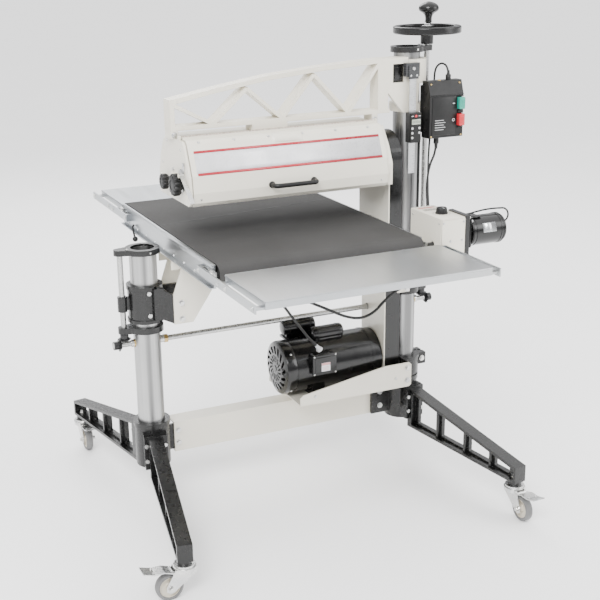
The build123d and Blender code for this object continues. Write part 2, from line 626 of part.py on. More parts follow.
def hood_end(x0, x1, bottom):
    front = [(y + 3.5, z - 2.5) for y, z in HOOD_FRONT[1:-1]]
    rear = [(y - 2.6, z - 2.6) for y, z in HOOD_REAR[1:-1]]
    outline = [(-146, bottom)] + front[::-1] + [(HINGE_Y, 1121)] + rear + [(99, bottom)]
    return plate_yz(outline, x0, x1)


def drum_parts():
    drum = rod("x", HEAD_Y, DRUM_Z, DRUM_R - 1.5, DRUM_X0, DRUM_X1)
    drum -= rod("x", HEAD_Y, DRUM_Z, 52, DRUM_X0 - 1, DRUM_X0 + 30)
    drum -= rod("x", HEAD_Y, DRUM_Z, 52, DRUM_X1 - 30, DRUM_X1 + 1)
    drum += rod("x", HEAD_Y, DRUM_Z, 12.5, HOOD_X0 - 8, PULLEY_X1 + 4)
    wrap = pipe("x", HEAD_Y, DRUM_Z, DRUM_R, DRUM_R - 1.5, DRUM_X0 + 2, DRUM_X1 - 2)
    return drum, wrap


def grooved_pulley(z, r, bore):
    """Two-groove pulley, turned about X."""
    x0, x1 = PULLEY_X0, PULLEY_X1
    m = (x0 + x1) / 2
    pts = [(x0, bore), (x0, r + 3), (m - 7.5, r + 3), (m - 5, r - 6), (m + 5, r - 6), (m + 7.5, r + 3),
           (x1, r + 3), (x1, bore)]
    plane = Plane((0, HEAD_Y, z), x_dir=(1, 0, 0), z_dir=(0, -1, 0))
    face = plane * make_face(Polyline(*pts, close=True))
    return revolve(face, Axis((0, HEAD_Y, z), (1, 0, 0)))


def drive_belt():
    """V belt round both pulleys, a hair clear of the grooves."""
    m = (PULLEY_X0 + PULLEY_X1) / 2

    def loop(extra, x0, x1):
        r1, r2 = MOTOR_PULLEY_R + extra, DRUM_PULLEY_R + extra
        lean = math.asin((r2 - r1) / (DRUM_Z - MOTOR_Z))
        hull = [(HEAD_Y + s * r * math.cos(lean), z - r * math.sin(lean))
                for s, r, z in ((1, r1, MOTOR_Z), (1, r2, DRUM_Z), (-1, r2, DRUM_Z), (-1, r1, MOTOR_Z))]
        body = plate_yz(hull, x0, x1)
        return body + rod("x", HEAD_Y, MOTOR_Z, r1, x0, x1) + rod("x", HEAD_Y, DRUM_Z, r2, x0, x1)

    return loop(1.5, m - 4.6, m + 4.6) - loop(-4.5, m - 6, m + 6)


GUARD_OUTLINE = ([(-112, 322), (-112, 1005)]
                 + arc_points(HEAD_Y, DRUM_Z, 82, 178, 2, 22)
                 + [(52, 720), (34, 650), (34, 322), (16, 303), (-94, 303)])


def belt_guard():
    body = plate_yz(GUARD_OUTLINE, GUARD_X0, GUARD_X1)
    inner = ([(-110, 323), (-110, 1005)] + arc_points(HEAD_Y, DRUM_Z, 80, 178, 2, 22)
             + [(50, 720), (32, 650), (32, 323), (15, 305), (-93, 305)])
    body -= plate_yz(inner, GUARD_X0 - 1, GUARD_X1 - 2)
    return body - rod("x", 0, SHAFT_Z, 11, 300, 400)


def guard_backplate():
    outline = ([(-112, 322), (-112, 760), (-128, 790), (-128, 985)]
               + arc_points(HEAD_Y, DRUM_Z, 98, 167, 20, 18)
               + [(62, 985), (55, 900), (54, 720), (34, 650), (34, 322), (16, 303), (-94, 303)])
    body = plate_yz(outline, GUARD_X0 - 4, GUARD_X0)
    body -= rod("x", HEAD_Y, DRUM_Z, 16, 280, 320) + rod("x", HEAD_Y, MOTOR_Z, 16, 280, 320)
    return body - rod("x", 0, SHAFT_Z, 11, 280, 320)


def bearing_right():
    """Drum bearing housing between the hood and the belt guard."""
    x0, x1 = HOOD_X1 + 3.5, GUARD_X0 - 4
    outer = [(-126, 1060), (-150, 1010), (-150, 948), (86, 948), (86, 1050), (40, 1112), (-90, 1112)]
    inner = [(-124, 1058), (-147, 1009), (-147, 951), (83, 951), (83, 1049), (38, 1109), (-89, 1109)]
    body = plate_yz(outer, x0, x1) - plate_yz(inner, 270, 310)
    body += pipe("x", HEAD_Y, DRUM_Z, 34, 12.5 + RUN, x0, x1)
    body += box(x0, x1, HEAD_Y - 4, HEAD_Y + 4, DRUM_Z + 30, 1110)
    body += box(x0, x1, HEAD_Y - 118, HEAD_Y - 30, DRUM_Z - 4, DRUM_Z + 4)
    body += box(x0, x1, HEAD_Y + 30, HEAD_Y + 114, DRUM_Z - 4, DRUM_Z + 4)
    return body - box(x0, HOOD_X1 + 6.5, HINGE_Y - 5, HINGE_Y + 5, 1112, 1132)


def pressure_rollers():
    rollers = []
    for y in PRESS_Y:
        body = rod("x", y, PRESS_Z, 11, HOOD_X0 + 8, HOOD_X1 - 8)
        rollers.append(body + rod("x", y, PRESS_Z, 4, HOOD_X0 - 1.5, HOOD_X1 + 2))
    return rollers


def head_mounts():
    """Feet that carry the hood ends on the truss and tie the belt side to the column."""
    return [box(-345, -324, -55, -5, 1121.5, 1142), box(280.5, 299, -55, -5, 1112, 1142)]


def hood_end_left():
    """Cast end plate with the drum bearing boss, the hinge ear and the pin of the latch."""
    outside, inside = HOOD_X0 - 8, HOOD_X0 - 0.5
    body = hood_end(outside, inside, HOOD_BOTTOM) - rod("x", HEAD_Y, DRUM_Z, 12.5 + RUN, -400, -300)
    for y in PRESS_Y:
        body -= rod("x", y, PRESS_Z, 4 + RUN, -330, -300)
    body += pipe("x", HEAD_Y, DRUM_Z, 18, 12.5 + RUN, outside - 6, outside)
    body += rod("x", HEAD_Y, DRUM_Z, 18, outside - 9, outside - 6)
    body += box(outside, inside, HINGE_Y - 5, HINGE_Y + 5, 1115, 1132)
    body -= rod("x", HINGE_Y, HINGE_Z, 1.5, -340, -300)
    body += rod("x", LATCH_Y, LATCH_Z, 3, outside - 16, outside + 1)
    return body + rod("x", LATCH_Y, LATCH_Z, 5.5, outside - 18, outside - 16)


def hood_end_right():
    x0, x1 = HOOD_X1 + 0.5, HOOD_X1 + 3.5
    body = hood_end(x0, x1, HOOD_BOTTOM) - rod("x", HEAD_Y, DRUM_Z, 20, 270, 290)
    for y in PRESS_Y:
        body -= rod("x", y, PRESS_Z, 4 + RUN, 270, 290)
    body += box(x0, x1 + 3, HINGE_Y - 5, HINGE_Y + 5, 1112, 1132)
    return body - rod("x", HINGE_Y, HINGE_Z, 1.5, 270, 290)


def hood_latch():
    """Flat lever on the left end that holds the lid shut."""
    x0, x1 = HOOD_X0 - 22, HOOD_X0 - 10
    lever = [(LATCH_Y + 6, LATCH_Z + 7), (LATCH_Y - 8, LATCH_Z - 5), (-194, 976), (-199, 968)]
    body = plate_yz(thick_line(lever, 2.4), x0, x1) + rod("x", LATCH_Y, LATCH_Z, 6.5, x0, x1)
    return body - rod("x", LATCH_Y, LATCH_Z, 3 + RUN, HOOD_X0 - 30, HOOD_X0)


def lid_handle():
    """Round bar on two posts, cut off where it meets the lid."""
    body = rod("x", -190, 988, 7, -92, 58)
    for x in (-72, 38):
        body += rod("y", x, 988, 5, -190, -165)
    return body - plate_yz(HOOD_FRONT + [(0, HOOD_BOTTOM)], -200, 200)


def end_knob(y, z, r, x0, length):
    """Knob with twelve flutes on the left end of the hood."""
    body = rod("x", y, z, r, x0 - length, x0)
    for k in range(12):
        a = math.radians(30 * k)
        body -= rod("x", y + r * math.cos(a), z + r * math.sin(a), 0.09 * r, x0 - length - 1, x0 - 3)
    return body


def add_head():
    PARTS["truss_arm"] = truss_arm()
    PARTS["hood_shell"] = hood_shell()
    PARTS["dust_port"] = dust_port()
    PARTS["hood_lid"] = hood_lid()
    PARTS["hinge_pin"] = rod("x", HINGE_Y, HINGE_Z, 1.5, HOOD_X0 - 6, HOOD_X1 + 6)
    PARTS["lid_handle"] = lid_handle()
    PARTS["hood_end_left"] = hood_end_left()
    PARTS["hood_end_right"] = hood_end_right()
    PARTS["hood_latch"] = hood_latch()
    PARTS["head_mounts"] = group(head_mounts())
    PARTS["bearing_right"] = bearing_right()
    PARTS["drum"], PARTS["abrasive"] = drum_parts()
    PARTS["drum_pulley"] = grooved_pulley(DRUM_Z, DRUM_PULLEY_R, 12.5)
    PARTS["pressure_roller_front"], PARTS["pressure_roller_rear"] = pressure_rollers()
    PARTS["guard_backplate"] = guard_backplate()
    PARTS["belt_guard"] = belt_guard()
    PARTS["drive_belt"] = drive_belt()
    large = end_knob(-90, 1001, 31, HOOD_X0 - 8, 30)
    small = end_knob(13, 992, 22, HOOD_X0 - 8, 26)
    PARTS["end_knobs"] = group([large, small])


# ---------------------------------------------------------------- drive and electrics
def motor_parts():
    y, z = HEAD_Y, MOTOR_Z
    body = rod("x", y, z, MOTOR_R, 5, 272) + rod("x", y, z, MOTOR_R - 3, 272, 296)
    for x0 in (60, 190):
        body += box(x0, x0 + 40, y - 70, y + 70, TRAY_Z + 4, z - 40)
    body -= rod("x", y, z, 12 + RUN, -10, 310)
    cover = rod("x", y, z, MOTOR_R + 1.5, -35, 5) - rod("x", y, z, MOTOR_R - 1, -33, 6)
    for r, n in ((26, 5), (50, 9)):
        for k in range(n):
            a = 2 * math.pi * k / n
            cover -= rod("x", y + r * math.cos(a), z + r * math.sin(a), 8, -40, -30)
    covers = []
    for x0, x1, cy, cz, r in ((18, 128, 36, 488, 24), (84, 190, -36, 480, 22)):
        can = rod("x", cy, cz, r, x0, x1) + box(x0 + 4, x1 - 4, cy, cy * 0.4, 455, cz)
        covers.append(can - rod("x", y, z, MOTOR_R, -50, 320))
    junction = box(48, 128, -128, -90, 378, 444)
    junction = fillet(junction.edges().filter_by(Axis.Y), 6) - rod("x", y, z, MOTOR_R, -50, 320)
    junction += Pos(83.5, -109, 448.35) * Rot(0, -36.9, 0) * Cylinder(7, 10.9)
    rotor = rod("x", y, z, 12, -28, PULLEY_X1 + 6)
    fan = rod("x", y, z, 20, -26, -4)
    for k in range(7):
        fan += Pos(0, y, z) * Rot(360 / 7 * k, 0, 0) * box(-26, -8, -1.5, 1.5, 15, 72)
    fan -= rod("x", y, z, 12, -40, 0)
    return body, cover, covers, junction, rotor, fan


def motor_tray():
    base = box(-3, 372, -141, 87, TRAY_Z, TRAY_Z + 4)
    front = [(-3, TRAY_Z), (-3, 322), (8, 330), (268, 373), (290, 376), (372, 376), (380, 368),
             (380, 302), (372, TRAY_Z)]
    rear = [(-3, TRAY_Z), (-3, 318), (6, 326), (330, 326), (340, 318), (340, TRAY_Z)]
    body = base + plate_xz(front, -145, -141) + plate_xz(rear, 87, 91)
    for x, z in ((47, 320), (325, 330)):
        body -= rod("y", x, z, 4, -150, -130)
    for x in (80, 210):
        for y in (HEAD_Y - 52, HEAD_Y + 52):
            body -= box(x - 4, x + 4, y - 14, y + 14, TRAY_Z - 1, TRAY_Z + 5)
    return body


def motor_collar():
    """Clamp on the right column that carries the motor tray."""
    body = rod("z", COL_X, 0, 55, 290, 352) + rod("z", COL_X, 0, 58, 344, 352)
    body += box(372, 384, -141, 10, 300.5, 374)
    body += box(380, 400, -40, -28, 300.5, 345) + box(345, 384, -141, -131, 302, 370)
    for y in (-15, 15):
        body += box(COL_X + 48, COL_X + 76, y - 11, y + 11, 312, 350)
    body -= box(COL_X + 30, COL_X + 80, -3, 3, 280, 360)
    body -= box(330, 372, -131, 100, 280, 302)
    return body - rod("z", COL_X, 0, COL_R, 250, 400) + pipe("z", COL_X, 0, 52, COL_R, 285, 290)


PADDLES = {"start_paddle": (1143.0, 1178.0), "stop_paddle": (1094.0, 1129.0)}


def switch_box():
    """Enclosure whose front leans back above the paddles, and the plate it hangs on."""
    x0, x1, front, back, z0, z1 = 452.0, 568.0, -98.0, -53.0, 1060.0, 1228.0
    body = plate_yz([(back, z0), (front, z0), (front, 1188), (front + 14, z1), (back, z1)], x0, x1)
    body = fillet(body.edges().filter_by(Axis.X), 1.8)
    for low, high in PADDLES.values():
        body -= box(546, x1 + 1, front - 1, front + 12, low - 1, high + 1)
    body += rod("z", 528, -73, 8, z1 - 1, z1 + 8) + rod("z", 492, -73, 8, z0 - 12, z0 + 1)
    bracket = box(448, 560, back, back + 5, 1075, 1215) - rod("z", COL_X, 0, 52, 1138, 1162)
    return body, bracket


def add_drive():
    body, cover, covers, junction, rotor, fan = motor_parts()
    PARTS["motor_body"] = body
    PARTS["fan_cover"] = cover
    PARTS["capacitor_covers"] = group(covers)
    PARTS["junction_box"] = junction
    PARTS["motor_rotor"] = rotor
    PARTS["motor_fan"] = fan
    PARTS["motor_pulley"] = grooved_pulley(MOTOR_Z, MOTOR_PULLEY_R, 12)
    PARTS["motor_tray"] = motor_tray()
    PARTS["motor_collar"] = motor_collar()
    PARTS["switch_box"], PARTS["switch_bracket"] = switch_box()
    for name, (low, high) in PADDLES.items():
        PARTS[name] = box(547, 567, -112, -90, low, high)
    bolts = [hex_bolt(366, -145, z, "-y") for z in (318, 358)]
    bolts.append(hex_bolt(COL_X + 62, -26, 331, "-y"))
    PARTS["tray_bolts"] = group(bolts)


# ---------------------------------------------------------------- flexible leads
# Each route is a list of points in millimetres, from the exit to the far end.
MOTOR_LEAD = [(302, -336, 766), (302, -336, 730), (262, -337, 704), (213, -338, 689), (171, -340, 664),
              (138, -340, 632), (94, -340, 620), (44, -340, 634), (-10, -338, 664), (-66, -330, 692),
              (-112, -294, 718), (-126, -236, 708), (-98, -184, 670), (-58, -150, 628), (-24, -130, 584),
              (10, -118, 540), (40, -111, 500), (61, -109, 478.3), (80.2, -109, 452.7)]
BOX_LEAD = [(492, -73, 1048), (492, -73, 1014), (470, -74, 976), (461, -76, 920), (461, -82, 850),
            (454, -102, 784), (424, -136, 728), (382, -180, 708), (342, -199, 736), (320, -217, 776),
            (310, -245, 812), (310, -277, 812)]
INLET_LEAD = [(528, -73, 1236), (528, -73, 1264), (521, -48, 1278), (512, -26, 1262), (510, -23, 1224),
              (508, -25, 1156), (500, -27, 1080), (487, -40, 1012), (474, -60, 948), (470, -70, 884),
              (471, -79, 816), (462, -106, 748), (430, -144, 706), (388, -190, 690), (350, -212, 716),
              (330, -225, 758), (322, -247, 798), (322, -277, 798)]
FEED_MOTOR_LEAD = [(376, -399, 899), (398, -399, 899), (428, -397, 903), (458, -396, 905.5),
                   (484, -398, 906), (502, -401, 905.5), (515, -402, 905), (525.5, -403, 897.4),
                   (529.5, -404, 885), (525.5, -404, 872.6), (515, -403, 865), (502, -403, 865)]


def lead(name, points, diameter):
    """Round cable along straight runs joined by arcs as large as the runs allow."""
    runs = [Vector(b) - Vector(a) for a, b in zip(points[:-1], points[1:])]
    radii = []
    for before, after in zip(runs[:-1], runs[1:]):
        half = math.radians(before.get_angle(after)) / 2
        radii.append(0.45 * min(before.length, after.length) / math.tan(half))
    route = FilletPolyline(*points, radius=radii)
    tube = sweep(Plane(origin=route @ 0, z_dir=route % 0) * Circle(diameter / 2), path=route)
    ideal = math.pi * diameter ** 2 / 4 * route.length
    print(name, "length", round(route.length), "radii", [round(r) for r in radii], end=" ")
    print("volume / (section x length)", round(tube.volume / ideal, 4))
    return tube


def add_leads():
    PARTS["motor_lead"] = lead("motor_lead", MOTOR_LEAD, 8)
    PARTS["box_lead"] = lead("box_lead", BOX_LEAD, 7)
    PARTS["inlet_lead"] = lead("inlet_lead", INLET_LEAD, 6)
    PARTS["feed_motor_lead"] = lead("feed_motor_lead", FEED_MOTOR_LEAD, 5)


# Pieces that are fixed together and share a material are one node of separate solids.
NODE_GROUPS = {
    "columns": ["column_left", "column_right"],
    "column_castings": ["socket_left", "socket_right", "motor_collar"],
    "legs": ["leg_fl", "leg_rl", "leg_fr", "leg_rr"],
    "stand_hardware": ["caster_stems", "beam_bolts", "leg_bolts", "tray_bolts", "shaft_bushes"],
    "column_rings": ["column_cap_left", "column_cap_right", "lower_ring_left", "lower_ring_right"],
    "cross_shaft": ["cross_shaft", "shaft_gears"],
    "screw_left": ["screw_left", "screw_gear_left"],
    "screw_right": ["screw_right", "screw_gear_right"],
    "caster_fl": ["fork_fl", "pedal_fl"],
    "caster_rl": ["fork_rl", "pedal_rl"],
    "caster_fr": ["fork_fr", "pedal_fr"],
    "caster_rr": ["fork_rr", "pedal_rr"],
    "table_collars": ["table_collar_left", "table_collar_right"],
    "bed_support": ["bed_support", "bracket_plates"],
    "table_hardware": ["takeups", "table_bolts"],
    "extension_tables": ["infeed_table", "outfeed_table"],
    "readout_reader": ["readout_reader", "readout_arm"],
    "hood_ends": ["hood_end_left", "hood_end_right", "hinge_pin"],
    "head_brackets": ["head_mounts", "bearing_right"],
    "drum": ["drum", "drum_pulley"],
    "motor_covers": ["fan_cover", "capacitor_covers", "junction_box"],
    "motor_rotor": ["motor_rotor", "motor_fan", "motor_pulley"],
    "switch_box": ["switch_box", "switch_bracket"],
}


def export_all():
    os.makedirs("parts", exist_ok=True)
    nodes = {}
    grouped = {piece for pieces in NODE_GROUPS.values() for piece in pieces}
    for name, pieces in NODE_GROUPS.items():
        nodes[name] = group([solid for piece in pieces for solid in PARTS[piece].solids()])
    for name, shape in PARTS.items():
        if name not in grouped:
            nodes[name] = shape
    for name, shape in nodes.items():
        export_step(Pos(MID_X, 0, 0) * shape, "parts/" + name + ".step")
        count = len(shape.solids())
        print(name, count, "solids" if shape.is_valid else "solids INVALID")
    print(len(nodes), "nodes")


add_stand()
add_lift()
add_table()
add_head()
add_drive()
add_leads()
export_all()
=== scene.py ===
import json
import math

import bmesh
import bpy
from mathutils import Matrix, Vector


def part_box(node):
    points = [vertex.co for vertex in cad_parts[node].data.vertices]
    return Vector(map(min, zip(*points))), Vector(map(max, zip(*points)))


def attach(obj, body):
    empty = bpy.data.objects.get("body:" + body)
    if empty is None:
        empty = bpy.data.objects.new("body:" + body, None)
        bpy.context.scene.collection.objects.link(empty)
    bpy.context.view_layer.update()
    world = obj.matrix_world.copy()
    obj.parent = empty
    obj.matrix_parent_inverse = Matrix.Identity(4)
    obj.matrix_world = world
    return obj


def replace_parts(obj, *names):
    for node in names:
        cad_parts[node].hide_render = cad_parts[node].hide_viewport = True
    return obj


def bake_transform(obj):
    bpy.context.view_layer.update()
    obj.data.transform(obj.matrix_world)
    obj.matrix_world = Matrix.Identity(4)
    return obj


# ---------------------------------------------------------------- frame and driving sizes
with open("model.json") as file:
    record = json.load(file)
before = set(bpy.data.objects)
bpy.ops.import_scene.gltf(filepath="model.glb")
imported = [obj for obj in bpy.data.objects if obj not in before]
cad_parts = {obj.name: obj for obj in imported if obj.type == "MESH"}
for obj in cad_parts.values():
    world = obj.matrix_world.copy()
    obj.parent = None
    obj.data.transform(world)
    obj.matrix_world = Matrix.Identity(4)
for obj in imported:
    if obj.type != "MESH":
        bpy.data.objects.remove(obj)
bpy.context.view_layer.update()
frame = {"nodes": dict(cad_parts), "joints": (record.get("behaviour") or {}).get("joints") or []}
NODES = frame["nodes"]
JOINTS = {j["name"]: j for j in frame["joints"]}

MM = 0.001
MIDDLE = 8.0                 # x of the middle between the columns, in mm
COLUMN_X = 427.5
SCREW_X, SCREW_R = 495.5, 8.0
SHAFT_Z = 529.0
HINGE_Y, HINGE_Z = -76.0, 1127.0
HEAD_Y, DRUM_Z, MOTOR_Z, MOTOR_R = -30.0, 1007.5, 386.0, 82.0
HOOD_X0, HOOD_X1 = -324.0, 277.0
BELT_TOP = 853.0
ROLLER_Y, ROLLER_Z = 399.0, 825.5
FEED_Y, FEED_Z = -399.0, 851.0      # axis of the feed motor


def at(x, y, z):
    """A place given in mm from the middle between the columns, as the CAD source gives it."""
    return Vector(((x + MIDDLE) * MM, y * MM, z * MM))


# ---------------------------------------------------------------- materials
class Look:
    """A node material with object-space textures."""

    def __init__(self, name, colour, roughness, metallic=0.0, coat=0.0, specular=0.5):
        self.mat = bpy.data.materials.new(name)
        self.mat.use_nodes = True
        self.tree = self.mat.node_tree
        self.bsdf = self.tree.nodes["Principled BSDF"]
        self.bsdf.inputs["Base Color"].default_value = (*colour, 1)
        self.bsdf.inputs["Roughness"].default_value = roughness
        self.bsdf.inputs["Metallic"].default_value = metallic
        self.bsdf.inputs["Coat Weight"].default_value = coat
        self.bsdf.inputs["Coat Roughness"].default_value = 0.12
        self.bsdf.inputs["Specular IOR Level"].default_value = specular
        self.place = self.node("ShaderNodeTexCoord").outputs["Object"]

    def node(self, kind, **settings):
        made = self.tree.nodes.new(kind)
        for key, value in settings.items():
            setattr(made, key, value)
        return made

    def link(self, output, target):
        self.tree.links.new(output, target)

    def scaled(self, scale):
        mapping = self.node("ShaderNodeMapping")
        mapping.inputs["Scale"].default_value = scale
        self.link(self.place, mapping.inputs["Vector"])
        return mapping.outputs["Vector"]

    def noise(self, scale, detail=3.0, stretch=(1, 1, 1)):
        made = self.node("ShaderNodeTexNoise")
        made.inputs["Scale"].default_value = scale
        made.inputs["Detail"].default_value = detail
        self.link(self.scaled(stretch), made.inputs["Vector"])
        return made.outputs["Fac"]

    def cells(self, scale, stretch=(1, 1, 1)):
        made = self.node("ShaderNodeTexVoronoi")
        made.inputs["Scale"].default_value = scale
        self.link(self.scaled(stretch), made.inputs["Vector"])
        return made.outputs["Distance"]

    def ramp(self, factor, stops):
        made = self.node("ShaderNodeValToRGB")
        while len(made.color_ramp.elements) < len(stops):
            made.color_ramp.elements.new(0.5)
        for element, (position, colour) in zip(made.color_ramp.elements, stops):
            element.position = position
            element.color = (*colour, 1) if hasattr(colour, "__len__") else (colour, colour, colour, 1)
        self.link(factor, made.inputs["Fac"])
        return made.outputs["Color"]

    def mix(self, factor, first, second, mode="MIX"):
        made = self.node("ShaderNodeMix", data_type="RGBA", blend_type=mode)
        if isinstance(factor, float):
            made.inputs["Factor"].default_value = factor
        else:
            self.link(factor, made.inputs["Factor"])
        for value, socket in ((first, made.inputs["A"]), (second, made.inputs["B"])):
            if isinstance(value, tuple):
                socket.default_value = (*value, 1)
            else:
                self.link(value, socket)
        return made.outputs["Result"]

    def reckon(self, kind, operation, *values):
        """Outputs of a maths node on numbers, vectors and other nodes' outputs."""
        made = self.node("ShaderNode" + kind, operation=operation)
        for value, socket in zip(values, made.inputs):
            if isinstance(value, bpy.types.NodeSocket):
                self.link(value, socket)
            else:
                socket.default_value = value
        return made.outputs

    def around(self, axis, centre, low, high):
        """1 where the distance from a line along an axis lies between low and high, in metres."""
        shift = self.reckon("VectorMath", "SUBTRACT", self.place, centre)[0]
        flat = [0.0 if i == axis else 1.0 for i in range(3)]
        drop = self.reckon("VectorMath", "MULTIPLY", shift, flat)[0]
        return self.between(self.reckon("VectorMath", "LENGTH", drop)["Value"], low, high)

    def along(self, axis, low, high):
        """1 where the coordinate on an axis lies between low and high, in metres."""
        split = self.node("ShaderNodeSeparateXYZ")
        self.link(self.place, split.inputs[0])
        return self.between(split.outputs[axis], low, high)

    def between(self, value, low, high):
        above = self.reckon("Math", "GREATER_THAN", value, low)[0]
        below = self.reckon("Math", "LESS_THAN", value, high)[0]
        return self.reckon("Math", "MULTIPLY", above, below)[0]

    def paint_over(self, mask, colour):
        """Plain coat of paint over a metal look where the mask is 1."""
        was = self.bsdf.inputs["Base Color"].links[0].from_socket
        self.link(self.mix(mask, was, colour), self.bsdf.inputs["Base Color"])
        self.link(self.reckon("Math", "SUBTRACT", 1.0, mask)[0], self.bsdf.inputs["Metallic"])
        return self

    def colour(self, output):
        self.link(output, self.bsdf.inputs["Base Color"])
        return self

    def rough(self, factor, low, high):
        self.link(self.ramp(factor, [(0.3, low), (0.7, high)]), self.bsdf.inputs["Roughness"])
        return self

    def relief(self, height, strength, distance, edge=0.0):
        """Bump, over edges that shade as if rounded to the radius edge."""
        bump = self.node("ShaderNodeBump")
        bump.inputs["Strength"].default_value = strength
        bump.inputs["Distance"].default_value = distance
        self.link(height, bump.inputs["Height"])
        if edge:
            bevel = self.node("ShaderNodeBevel", samples=3)
            bevel.inputs["Radius"].default_value = edge
            self.link(bevel.outputs["Normal"], bump.inputs["Normal"])
        self.link(bump.outputs["Normal"], self.bsdf.inputs["Normal"])
        return self


def finish(name, colour, roughness, tint, rough, relief, light_from=0.7, **shine):
    """A material of three noises, each given by its scale and detail first. Then tint has its dark
    and its light colour, rough its low and its high value, relief its strength, depth and edge."""
    look = Look(name, colour, roughness, **shine)
    scale, detail, dark, light = tint
    look.colour(look.ramp(look.noise(scale, detail), [(0.3, dark), (light_from, light)]))
    if rough:
        scale, detail, low, high = rough
        look.rough(look.noise(scale, detail), low, high)
    scale, detail, *depth = relief
    return look.relief(look.noise(scale, detail), *depth).mat


def moulded_black(name, roughness):
    return finish(name, (0.006, 0.006, 0.0065), roughness, (14, 3, 0.0045, 0.009),
                  (120, 3, roughness - 0.06, roughness + 0.1), (900, 2, 0.22, 0.0005, 0.0010),
                  light_from=0.75, specular=0.35)


def rubber(name, shade, scale=300):
    return finish(name, (shade, shade, shade), 0.62, (18, 4, shade * 0.8, shade * 1.2),
                  (60, 3, 0.52, 0.72), (scale, 3, 0.2, 0.0005, 0.0008))


def plastic(name, colour, roughness=0.36):
    dark = tuple(c * 0.85 for c in colour)
    return finish(name, colour, roughness, (30, 3, dark, colour),
                  (140, 2, roughness - 0.06, roughness + 0.08), (700, 2, 0.08, 0.0004, 0.0006), coat=0.15)


STEEL, ALUMINIUM_GREY = (0.56, 0.56, 0.55), (0.66, 0.67, 0.68)
DEEP_BLACK = (0.004, 0.004, 0.0045)


def zinc_plate():
    """Bright plated sheet: clean, with a faint brushed grain and a slow tint."""
    look = Look("zinc_plate", (0.70, 0.71, 0.71), 0.3, metallic=1.0)
    tint = look.ramp(look.noise(1.6, 2), [(0.35, (0.43, 0.45, 0.47)), (0.65, (0.52, 0.53, 0.53))])
    streaks = look.noise(60, 3, (1, 0.03, 1))
    look.colour(look.mix(look.ramp(streaks, [(0.4, 0.0), (0.8, 0.06)]), tint, (0.36, 0.37, 0.38)))
    look.rough(look.noise(70, 3, (1, 0.04, 1)), 0.30, 0.36)
    return look.relief(look.noise(420, 2, (1, 0.04, 1)), 0.05, 0.0003, 0.0008)


def turned_steel(name, axis, colour=STEEL):
    """Metal with fine rings around the axis it was turned on."""
    look = Look(name, colour, 0.28, metallic=1.0)
    stretch = tuple(1.0 if i == axis else 0.02 for i in range(3))
    rings = look.noise(700, 2, stretch)
    cloud = look.noise(8, 4)
    dark = tuple(c * 0.72 for c in colour)
    look.colour(look.ramp(cloud, [(0.3, dark), (0.7, colour)]))
    look.rough(rings, 0.2, 0.4)
    return look.relief(rings, 0.12, 0.0003, 0.0008)


def column_steel():
    look = Look("column_steel", (0.50, 0.50, 0.49), 0.34, metallic=1.0)
    streaks = look.noise(160, 3, (1, 1, 0.015))
    cloud = look.noise(4, 4)
    base = look.ramp(cloud, [(0.3, (0.40, 0.40, 0.40)), (0.7, (0.50, 0.50, 0.495))])
    fine = look.mix(look.ramp(streaks, [(0.35, 0.0), (0.8, 0.35)]), base, (0.28, 0.28, 0.28))
    # Painted reflection: long dark vertical bands darken the steel towards 0.1 grey, standing in for the dark
    # surroundings that the round columns reflect.
    bands = look.noise(26, 1, (1, 1, 0.004))
    look.colour(look.mix(look.ramp(bands, [(0.42, 0.75), (0.58, 0.0)]), fine, (0.10, 0.10, 0.10)))
    look.rough(streaks, 0.26, 0.46)
    return look.relief(streaks, 0.10, 0.0003, 0.0008)


def feed_abrasive():
    look = Look("feed_abrasive", (0.085, 0.082, 0.078), 0.85, specular=0.3)
    grains = look.cells(1500)
    cloud = look.noise(5, 5)
    base = look.ramp(cloud, [(0.3, (0.030, 0.029, 0.028)), (0.7, (0.042, 0.041, 0.040))])
    sparkle = look.ramp(grains, [(0.05, 0.30), (0.35, 0.0)])
    look.colour(look.mix(0.16, base, sparkle, "ADD"))
    return look.relief(grains, 0.5, 0.0004)


def grit_cloth():
    look = Look("grit_cloth", (0.20, 0.11, 0.07), 0.8, specular=0.3)
    grains = look.cells(1700)
    look.colour(look.ramp(look.noise(12, 5), [(0.3, (0.15, 0.08, 0.055)), (0.7, (0.24, 0.14, 0.09))]))
    return look.relief(grains, 0.6, 0.0004)


def geared_steel(name, axis, centre):
    """Turned bar whose gears, wider than the bar, are painted black."""
    look = turned_steel(name, axis)
    return look.paint_over(look.around(axis, centre, 0.0087, 1.0), DEEP_BLACK)


def scale_metal():
    """Aluminium scale; the clamp at its top is dark grey."""
    look = turned_steel("scale_aluminium", 2, ALUMINIUM_GREY)
    return look.paint_over(look.along("Z", 1.2375, 2.0), (0.035, 0.036, 0.038))


CREAM = finish("cream_paint", (0.74, 0.70, 0.60), 0.34, (3.2, 4, (0.70, 0.665, 0.57), (0.745, 0.71, 0.615)),
               (60, 2, 0.30, 0.42), (520, 2, 0.10, 0.0006, 0.0012), coat=0.2)
CREAM_CAST = finish("cream_casting", (0.72, 0.68, 0.58), 0.42,
                    (5, 4, (0.67, 0.63, 0.53), (0.735, 0.70, 0.60)), (90, 2, 0.36, 0.5),
                    (260, 5, 0.28, 0.0012, 0.0016), coat=0.1)
BLACK_CAST = finish("black_casting", DEEP_BLACK, 0.3, (9, 4, 0.0030, 0.0065), (70, 3, 0.22, 0.38),
                    (240, 5, 0.30, 0.0012, 0.0016), light_from=0.75, coat=0.25, specular=0.35)
BLACK_ENAMEL = finish("black_enamel", DEEP_BLACK, 0.22, (6, 3, 0.0028, 0.0055), (40, 3, 0.14, 0.28),
                      (420, 2, 0.08, 0.0006, 0.0014), light_from=0.75, coat=0.3, specular=0.35)
BLACK_PLASTIC = moulded_black("moulded_black", 0.42)
GLOSS_PLASTIC = moulded_black("gloss_black_plastic", 0.2)
ZINC = zinc_plate().mat
